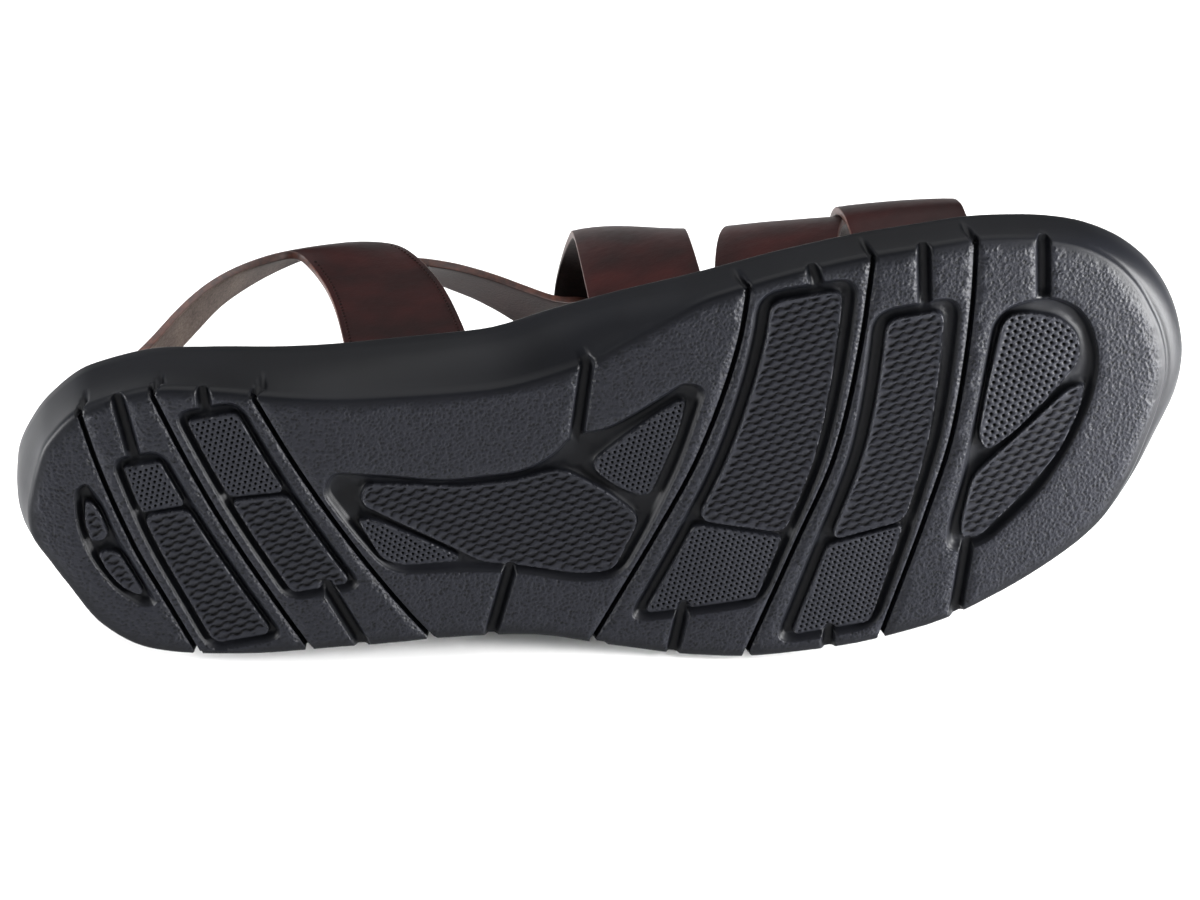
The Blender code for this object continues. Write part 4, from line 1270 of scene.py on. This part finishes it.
def over_quarter(point, run):
    """The heel strap's end, moved out until it lies on the outer quarter, to which it is sewn."""
    low = seat_height(point.x)
    rise = (point.z - low) / (ANKLE_HEIGHT - low)
    face = seat_y(1, point.x) - QUARTER_LEAN * rise**2 + STRAP_THICKNESS + SEWN_GAP
    share = 1 - float(smooth((run - runs[SEWN_KNOT]) / (runs[FREE_KNOT] - runs[SEWN_KNOT])))
    return point + Vector((0, max(face - point.y, 0) * share, 0))


def quarter_and_heel_rows():
    """Rows across the piece: up the inner quarter, round its turn, back along the heel strap."""
    edges = []
    for rise in QUARTER_RISES:
        row = quarter_row("inner", rise)
        edges.append((row[0], row[-1] + Vector((FRONT_FLARE * (1 - rise / FLARE_END), 0, 0))))
    edges += [(Vector(inside), Vector(outside)) for inside, outside in QUARTER_TURN]
    heel, turn = runs[HEEL_KNOT], runs[TURN_KNOT]
    for run in np.linspace(turn + 1, runs[0] + 1, HEEL_ROWS):
        row = [over_quarter(point, run) for point in collar_row(run, STRAP_THICKNESS)]
        share = min(max((run - heel) / (turn - heel), 0), 1)
        swell = HEEL_SWELL_WAY * HEEL_SWELL * math.sin(math.pi * share) ** 2
        taper = HEEL_TAPER * float(smooth(share * 2))
        edges.append((row[0] + swell, row[-1].lerp(row[0], taper) + swell))
    inside, outside = (
        softened(through([edge[k] for edge in edges], BETWEEN_KNOTS), SOFTENING) for k in (0, 1)
    )
    shares = [k / WIDE_COLUMNS for k in range(WIDE_COLUMNS + 1)]
    return [[a.lerp(b, share) for share in shares] for a, b in zip(inside, outside)]


quarter_rows = quarter_and_heel_rows()
name = "inner_quarter_and_heel_strap"
new_piece(name, leather_strip(name, quarter_rows, 1, QUARTER_BOW), *ankle_pieces)
print(name, "has", len(quarter_rows), "rows")


# %% The instep tie and the outer quarter
def instep_tie_rows():
    """The strap from under the inner quarter to under the instep strap."""
    rows = []
    hidden, in_sight = runs[HIDDEN_KNOT], runs[OPEN_KNOT]
    for run in np.linspace(runs[TIE_KNOT] - TIE_UNDER, runs[-1], TIE_ROWS):
        tucked = TIE_TUCK * (1 - smooth((run - hidden) / (in_sight - hidden)))
        rows.append(collar_row(run, STRAP_THICKNESS + tucked))
    return rows


tie_rows = instep_tie_rows()
outer_rows = [quarter_row("outer", OUTER_RISE * i / OUTER_ROWS) for i in range(OUTER_ROWS + 1)]
for name, rows in (("instep_tie", tie_rows), ("outer_quarter", outer_rows)):
    new_piece(name, leather_strip(name, rows, -1, QUARTER_BOW), *ankle_pieces)
    print(name, "has", len(rows), "rows")

# %% [markdown]
# ## Helpers for nodes
# One helper adds a node with its settings and links, and one turns a colour as it is seen on a
# screen to the linear values that the shader works with. Every material starts the same way: a
# Principled shader, and the object's own coordinates, so that a pattern keeps its real size.

# %% Helpers for materials
def linear(code):
    """An sRGB hex colour as linear values with full opacity."""
    parts = [int(code[k:k + 2], 16) / 255 for k in (1, 3, 5)]
    return (*[c / 12.92 if c <= 0.04045 else ((c + 0.055) / 1.055) ** 2.4 for c in parts], 1.0)


def add_node(tree, kind, links=(), stops=(), **settings):
    """A node with its settings; links are pairs of one of its inputs and the socket that feeds it.
    Stops are a colour ramp's positions and hex colours."""
    node = tree.nodes.new(kind)
    for name, value in settings.items():
        if name in node.inputs:
            node.inputs[name].default_value = value
        else:
            setattr(node, name, value)
    for name, source in links:
        named = [socket for socket in node.inputs
                 if name in (socket.name, socket.identifier) and socket.enabled]
        tree.links.new(named[0] if named else node.inputs[name], source)
    for k, (position, colour) in enumerate(stops):
        elements = node.color_ramp.elements
        element = elements[k] if k < len(elements) else elements.new(position)
        element.position = position
        element.color = linear(colour)
    return node


def blank(look):
    """Empties a material; returns its tree, a Principled shader and the object's coordinates."""
    look.use_nodes = True
    tree = look.node_tree
    tree.nodes.clear()
    shader = add_node(tree, "ShaderNodeBsdfPrincipled")
    add_node(tree, "ShaderNodeOutputMaterial", [("Surface", shader.outputs["BSDF"])])
    return tree, shader, add_node(tree, "ShaderNodeTexCoord").outputs["Object"]


print("white is", linear("#ffffff"))

# %% [markdown]
# ## Stitches
# The inner quarter is two layers, sewn along both edges with waxed thread. A small Geometry Nodes
# tree walks along a line of points and sets one stitch on every 1.8 mm, turned to the line and to
# the leather's face. The line is a copy of the strap's own rows, so the seam follows every bend.

# %% The stitch tree
def stitch_tree():
    tree = bpy.data.node_groups.new("row_of_stitches", "GeometryNodeTree")
    for name, way, kind in (
        ("Geometry", "INPUT", "Geometry"), ("Spacing", "INPUT", "Float"),
        ("Stitch Size", "INPUT", "Vector"), ("Thread", "INPUT", "Material"),
        ("Geometry", "OUTPUT", "Geometry"),
    ):
        tree.interface.new_socket(name, in_out=way, socket_type="NodeSocket" + kind)
    given = tree.nodes.new("NodeGroupInput").outputs
    line = add_node(tree, "GeometryNodeMeshToCurve", [("Mesh", given["Geometry"])])
    points = add_node(tree, "GeometryNodeCurveToPoints",
                      [("Curve", line.outputs["Curve"]), ("Length", given["Spacing"])],
                      mode="LENGTH")
    face = add_node(tree, "GeometryNodeInputNamedAttribute", data_type="FLOAT_VECTOR", Name="face")
    face_out = [socket for socket in face.outputs if socket.enabled][0]
    turn = add_node(tree, "FunctionNodeAxesToRotation",
                    [("Primary Axis", face_out), ("Secondary Axis", points.outputs["Tangent"])])
    stitch = add_node(tree, "GeometryNodeMeshIcoSphere", Radius=0.5, Subdivisions=2)
    placed = add_node(tree, "GeometryNodeInstanceOnPoints",
                      [("Points", points.outputs["Points"]), ("Instance", stitch.outputs["Mesh"]),
                       ("Rotation", turn.outputs["Rotation"]), ("Scale", given["Stitch Size"])])
    real = add_node(tree, "GeometryNodeRealizeInstances",
                    [("Geometry", placed.outputs["Instances"])])
    dressed = add_node(tree, "GeometryNodeSetMaterial",
                       [("Geometry", real.outputs["Geometry"]), ("Material", given["Thread"])])
    out = tree.nodes.new("NodeGroupOutput")
    tree.links.new(out.inputs["Geometry"], dressed.outputs["Geometry"])
    return tree


STITCHES = stitch_tree()
STITCH_SPACING = 1.8
STITCH_SIZE = (1.05, 0.75, 0.6)
thread = bpy.data.materials.new("waxed dark thread")
print("stitch tree with", len(STITCHES.nodes), "nodes")


# %% A seam along lines

def seam(name, lines):
    """Stitches along lines of (point, outward direction) in the shoe's own frame."""
    verts, edges, faces_out = [], [], []
    turn = TO_FLOOR.to_3x3().normalized()
    for line in lines:
        edges += [(len(verts) + k, len(verts) + k + 1) for k in range(len(line) - 1)]
        verts += [TO_FLOOR @ point for point, _ in line]
        faces_out += [turn @ out for _, out in line]
    mesh = bpy.data.meshes.new(name)
    mesh.from_pydata(verts, edges, [])
    layer = mesh.attributes.new("face", "FLOAT_VECTOR", "POINT")
    layer.data.foreach_set("vector", [value for out in faces_out for value in out])
    raw = new_object(name + "_raw", mesh)
    rows = raw.modifiers.new("stitches", "NODES")
    rows.node_group = STITCHES
    size = [v * MM for v in STITCH_SIZE]
    values = {"Spacing": STITCH_SPACING * MM, "Stitch Size": size, "Thread": thread}
    for item in STITCHES.interface.items_tree:
        if item.in_out == "INPUT" and item.name in values:
            rows[item.identifier] = values[item.name]
    return made_plain(raw)


print("one stitch in mm", STITCH_SIZE)

# %% [markdown]
# The seams run 1.6 mm in from both edges of the quarter, and again at the heel strap's end, where
# it is sewn to the outer quarter.

# %% The quarter's seams
SEAM_INSET, THREAD_PROUD = 1.6, 0.04
FACES_TO_A_STITCH = 80


def beside_edge(rows, from_edge):
    """A line on the leather's outer face, a little way in from one edge of the rows."""
    line = []
    for i, row in enumerate(rows):
        across = (row[-1] - row[0]).normalized()
        out = across.cross(way_ahead(rows, i)).normalized()
        point = (row[0] if from_edge > 0 else row[-1]) + across * from_edge
        line.append((point + out * (STRAP_THICKNESS + THREAD_PROUD), out))
    return line


seams = [
    beside_edge(quarter_rows[1:27], SEAM_INSET),
    beside_edge(quarter_rows[1:30], -SEAM_INSET),
    beside_edge(quarter_rows[-16:-1], SEAM_INSET),
    beside_edge(quarter_rows[-16:-1], -SEAM_INSET),
]
quarter_stitches = new_piece("quarter_stitches", seam("quarter_stitches", seams), "strap_leather")
print("stitches", len(quarter_stitches.data.polygons) // FACES_TO_A_STITCH)

# %% [markdown]
# ## The sole's finish
# The sole is a moulded black compound, polyurethane or rubber. The mould's walls are polished, so
# walls and moats have a soft gloss. The tread's flats take a leather-like pebble from the mould,
# with grains of about 0.9 mm, whose raised grains are painted lighter and pits darker: painted
# highlight and shade. The pads are dull, and their scales are drawn by the mesh, not by bump; their
# colour darkens with the depth of the grip, which is painted shade in the hollows.

# %% The sole's moulded compound
PEBBLE, FINE_GRAIN, BROAD_PATCHES = 0.95 * MM, 0.9 * MM, 24 * MM
PEBBLE_HEIGHT, SKIN_HEIGHT = 0.24 * MM, 0.06 * MM


def sole_look():
    look = bpy.data.materials.new("moulded black sole compound")
    tree, shader, where = blank(look)
    grain, pad, grip_hollow_shade = (
        add_node(tree, "ShaderNodeAttribute", attribute_name=name).outputs["Fac"]
        for name in ("grain", "pad", "grip_hollow_shade")
    )
    pebble = add_node(tree, "ShaderNodeTexVoronoi", [("Vector", where)], Scale=1 / PEBBLE,
                      feature="SMOOTH_F1", Smoothness=0.5)
    fine = add_node(tree, "ShaderNodeTexNoise", [("Vector", where)], Scale=1 / FINE_GRAIN,
                    Detail=3.0)
    broad = add_node(tree, "ShaderNodeTexNoise", [("Vector", where)], Scale=1 / BROAD_PATCHES,
                     Detail=3.0)
    mixed = add_node(tree, "ShaderNodeMath",
                     [(0, pebble.outputs["Distance"]), (1, fine.outputs["Fac"])],
                     operation="ADD").outputs[0]
    height = add_node(tree, "ShaderNodeMath", [(0, mixed), (1, grain)], operation="MULTIPLY")
    bump = add_node(tree, "ShaderNodeBump", [("Height", height.outputs[0])],
                    Strength=1.0, Distance=PEBBLE_HEIGHT)
    skin = add_node(tree, "ShaderNodeBump",
                    [("Height", fine.outputs["Fac"]), ("Normal", bump.outputs["Normal"])],
                    Strength=0.2, Distance=SKIN_HEIGHT)
    tree.links.new(shader.inputs["Normal"], skin.outputs["Normal"])
    walls = add_node(tree, "ShaderNodeValToRGB", [("Fac", broad.outputs["Fac"])],
                     stops=[(0.3, "#0a0b0e"), (0.7, "#0f1014")])
    # painted highlight and shade: the pebble's raised grains are coloured lighter and its pits
    # darker
    pebble_painted_shade = add_node(tree, "ShaderNodeValToRGB", [("Fac", mixed)],
                     stops=[(0.55, "#08090b"), (1.0, "#18191e")])
    # painted shade: the grips are coloured darker the deeper they go, from their tops into their
    # hollows
    scales = add_node(tree, "ShaderNodeValToRGB", [("Fac", grip_hollow_shade)],
                      stops=[(0.1, "#1b1c21"), (0.8, "#050506")])
    flats = add_node(tree, "ShaderNodeMix", [("Factor", grain), ("A", walls.outputs["Color"]),
                                             ("B", pebble_painted_shade.outputs["Color"])], data_type="RGBA")
    gripped = add_node(tree, "ShaderNodeMix", [("Factor", pad), ("A", flats.outputs["Result"]),
                                               ("B", scales.outputs["Color"])], data_type="RGBA")
    tree.links.new(shader.inputs["Base Color"], gripped.outputs["Result"])
    dull = add_node(tree, "ShaderNodeMath", [(0, grain), (1, pad)], operation="ADD")
    rough = add_node(tree, "ShaderNodeMapRange", [("Value", dull.outputs[0])],
                     **{"To Min": 0.45, "To Max": 0.47})
    tree.links.new(shader.inputs["Roughness"], rough.outputs[0])
    shader.inputs["Specular IOR Level"].default_value = 0.1
    return look


sole.data.materials.append(sole_look())
print("the sole is", sole.data.materials[0].name)

# %% [markdown]
# ## The leather's finishes
# The straps are oiled cowhide: dark reddish brown with a low gloss on the grain side, with pores
# of well under a millimetre and soft cloudy colour. The flesh side is suede, which has no gloss
# and a short nap: grey-brown round the heel, and dyed dark elsewhere. The cut edges are painted
# dark brown.

# %% The grain side
def grain_side(look):
    tree, shader, where = blank(look)
    cloud = add_node(tree, "ShaderNodeTexNoise", [("Vector", where)], Scale=1 / (14 * MM),
                     Detail=4.0)
    pores = add_node(tree, "ShaderNodeTexVoronoi", [("Vector", where)], Scale=1 / (0.8 * MM))
    creases = add_node(tree, "ShaderNodeTexNoise", [("Vector", where)], Scale=1 / (2.5 * MM),
                       Detail=6.0)
    colour = add_node(tree, "ShaderNodeValToRGB", [("Fac", cloud.outputs["Fac"])],
                      stops=[(0.3, "#160606"), (0.5, "#210909"), (0.7, "#2b0e0d")])
    tree.links.new(shader.inputs["Base Color"], colour.outputs["Color"])
    fine = add_node(tree, "ShaderNodeBump", [("Height", pores.outputs["Distance"])],
                    Strength=0.25, Distance=0.06 * MM)
    both = add_node(tree, "ShaderNodeBump",
                    [("Height", creases.outputs["Fac"]), ("Normal", fine.outputs["Normal"])],
                    Strength=0.3, Distance=0.12 * MM)
    tree.links.new(shader.inputs["Normal"], both.outputs["Normal"])
    worn = add_node(tree, "ShaderNodeMapRange", [("Value", creases.outputs["Fac"])],
                    **{"To Min": 0.42, "To Max": 0.54})
    tree.links.new(shader.inputs["Roughness"], worn.outputs[0])
    shader.inputs["Specular IOR Level"].default_value = 0.09


grain_side(leather_looks[0])
print("grain side:", len(leather_looks[0].node_tree.nodes), "nodes")

# %% The flesh side
SUEDE_END, DYED_START = -105.0 * MM, -70.0 * MM


def flesh_side(look):
    tree, shader, where = blank(look)
    nap = add_node(tree, "ShaderNodeTexNoise", [("Vector", where)], Scale=1 / (0.7 * MM),
                   Detail=5.0)
    patches = add_node(tree, "ShaderNodeTexNoise", [("Vector", where)], Scale=1 / (9 * MM),
                       Detail=4.0)
    both = add_node(tree, "ShaderNodeMath", [(0, nap.outputs["Fac"]), (1, patches.outputs["Fac"])],
                    operation="ADD")
    half = add_node(tree, "ShaderNodeMath", [(0, both.outputs[0])], operation="MULTIPLY")
    half.inputs[1].default_value = 0.5
    rough_hide = add_node(tree, "ShaderNodeValToRGB", [("Fac", half.outputs[0])],
                          stops=[(0.3, "#463a33"), (0.5, "#6b5f58"), (0.7, "#8a7d72")])
    dyed_hide = add_node(tree, "ShaderNodeValToRGB", [("Fac", half.outputs[0])],
                         stops=[(0.3, "#120706"), (0.7, "#26110f")])
    apart = add_node(tree, "ShaderNodeSeparateXYZ", [("Vector", where)])
    dyed = add_node(tree, "ShaderNodeMapRange", [("Value", apart.outputs["X"])],
                    **{"From Min": SUEDE_END, "From Max": DYED_START})
    hide = add_node(tree, "ShaderNodeMix",
                    [("Factor", dyed.outputs[0]), ("A", rough_hide.outputs["Color"]),
                     ("B", dyed_hide.outputs["Color"])], data_type="RGBA")
    tree.links.new(shader.inputs["Base Color"], hide.outputs["Result"])
    bump = add_node(tree, "ShaderNodeBump", [("Height", nap.outputs["Fac"])],
                    Strength=0.6, Distance=0.2 * MM)
    tree.links.new(shader.inputs["Normal"], bump.outputs["Normal"])
    shader.inputs["Roughness"].default_value = 0.95
    shader.inputs["Sheen Weight"].default_value = 0.08


flesh_side(leather_looks[1])
print("flesh side:", len(leather_looks[1].node_tree.nodes), "nodes")

# %% The cut edges and the thread
def mottled(look, size, detail, stops, roughness):
    """A plain finish whose colour drifts between two stops over a size in metres."""
    tree, shader, where = blank(look)
    drift = add_node(tree, "ShaderNodeTexNoise", [("Vector", where)], Scale=1 / size, Detail=detail)
    colour = add_node(tree, "ShaderNodeValToRGB", [("Fac", drift.outputs["Fac"])], stops=stops)
    tree.links.new(shader.inputs["Base Color"], colour.outputs["Color"])
    shader.inputs["Roughness"].default_value = roughness
    return tree, shader, where


mottled(leather_looks[2], 1.5 * MM, 3.0, [(0.35, "#281410"), (0.7, "#4a2a21")], 0.5)
waxed = mottled(thread, 0.4 * MM, 2.0, [(0.35, "#0d0605"), (0.7, "#241210")], 0.75)[1]
waxed.inputs["Specular IOR Level"].default_value = 0.1
print("edge and thread:", leather_looks[2].name, "and", thread.name)

# %% [markdown]
# The footbed's solid has the right shape and stays. It gets the brown, softly matte leather that
# lines such a sandal, with pores of about 1.2 mm so that they show at all.

# %% The footbed's leather
def footbed_look():
    look = bpy.data.materials.new("brown footbed leather")
    tree, shader, where = mottled(look, 30 * MM, 4.0, [(0.3, "#4d3122"), (0.7, "#6a4631")], 0.6)
    pores = add_node(tree, "ShaderNodeTexVoronoi", [("Vector", where)], Scale=1 / (1.2 * MM))
    bump = add_node(tree, "ShaderNodeBump", [("Height", pores.outputs["Distance"])],
                    Strength=0.35, Distance=0.1 * MM)
    tree.links.new(shader.inputs["Normal"], bump.outputs["Normal"])
    return look


footbed = footbed_look()
insole = frame["nodes"]["insole"]
for slot in insole.material_slots:
    slot.material = footbed
print("the footbed is", footbed.name)

# %% [markdown]
# ## Floor and light
# A plain pale floor, a dim even sky and four soft lamps. One hangs above, for the straps and the
# floor. One lies low at each end and brings the bright edges at heel and toe that the photo
# shows. The last looks across the tread, so that its pebble and scales can be seen.

# %% The floor
FLOOR_HALF = 6


def add_floor():
    bm = bmesh.new()
    bmesh.ops.create_grid(bm, x_segments=1, y_segments=1, size=FLOOR_HALF)
    mesh = bpy.data.meshes.new("pale_floor")
    bm.to_mesh(mesh)
    bm.free()
    floor = new_object("pale_floor", mesh)
    look = bpy.data.materials.new("pale floor paint")
    shader = blank(look)[1]
    shader.inputs["Base Color"].default_value = linear("#f4f4f4")
    shader.inputs["Roughness"].default_value = 0.9
    mesh.materials.append(look)


add_floor()
print("floor painted")

# %% The lights
LAMPS = {
    # place and aim in metres, size in metres, power in watts
    "overhead": ((0.0, 0.8, 2.2), (0.0, 0.1, 0.0), 3.2, 80.0),
    "from_the_toe": ((0.42, -0.16, 0.07), (0.15, -0.03, 0.05), 0.2, 9.5),
    "from_the_heel": ((-0.45, -0.10, 0.09), (-0.15, -0.03, 0.05), 0.2, 5.0),
    "across_the_tread": ((0.40, -0.36, 0.42), (0.13, -0.05, 0.06), 0.2, 1.6),
}


def add_lamp(name, place_at, aim, size, power_watts):
    lamp = new_object(name, bpy.data.lights.new(name, "AREA"))
    lamp.data.shape = "DISK"
    lamp.data.size = size
    lamp.data.energy = power_watts
    lamp.location = place_at
    lamp.rotation_euler = (Vector(aim) - Vector(place_at)).to_track_quat("-Z", "Y").to_euler()


for name, settings in LAMPS.items():
    add_lamp(name, *settings)


def add_sky():
    world = bpy.data.worlds.new("studio_sky")
    world.use_nodes = True
    background = world.node_tree.nodes["Background"]
    background.inputs["Color"].default_value = (1, 1, 1, 1)
    background.inputs["Strength"].default_value = 0.15
    bpy.context.scene.world = world
    bpy.context.scene.view_settings.view_transform = "Standard"


add_sky()
print(len(LAMPS), "lamps and a sky")
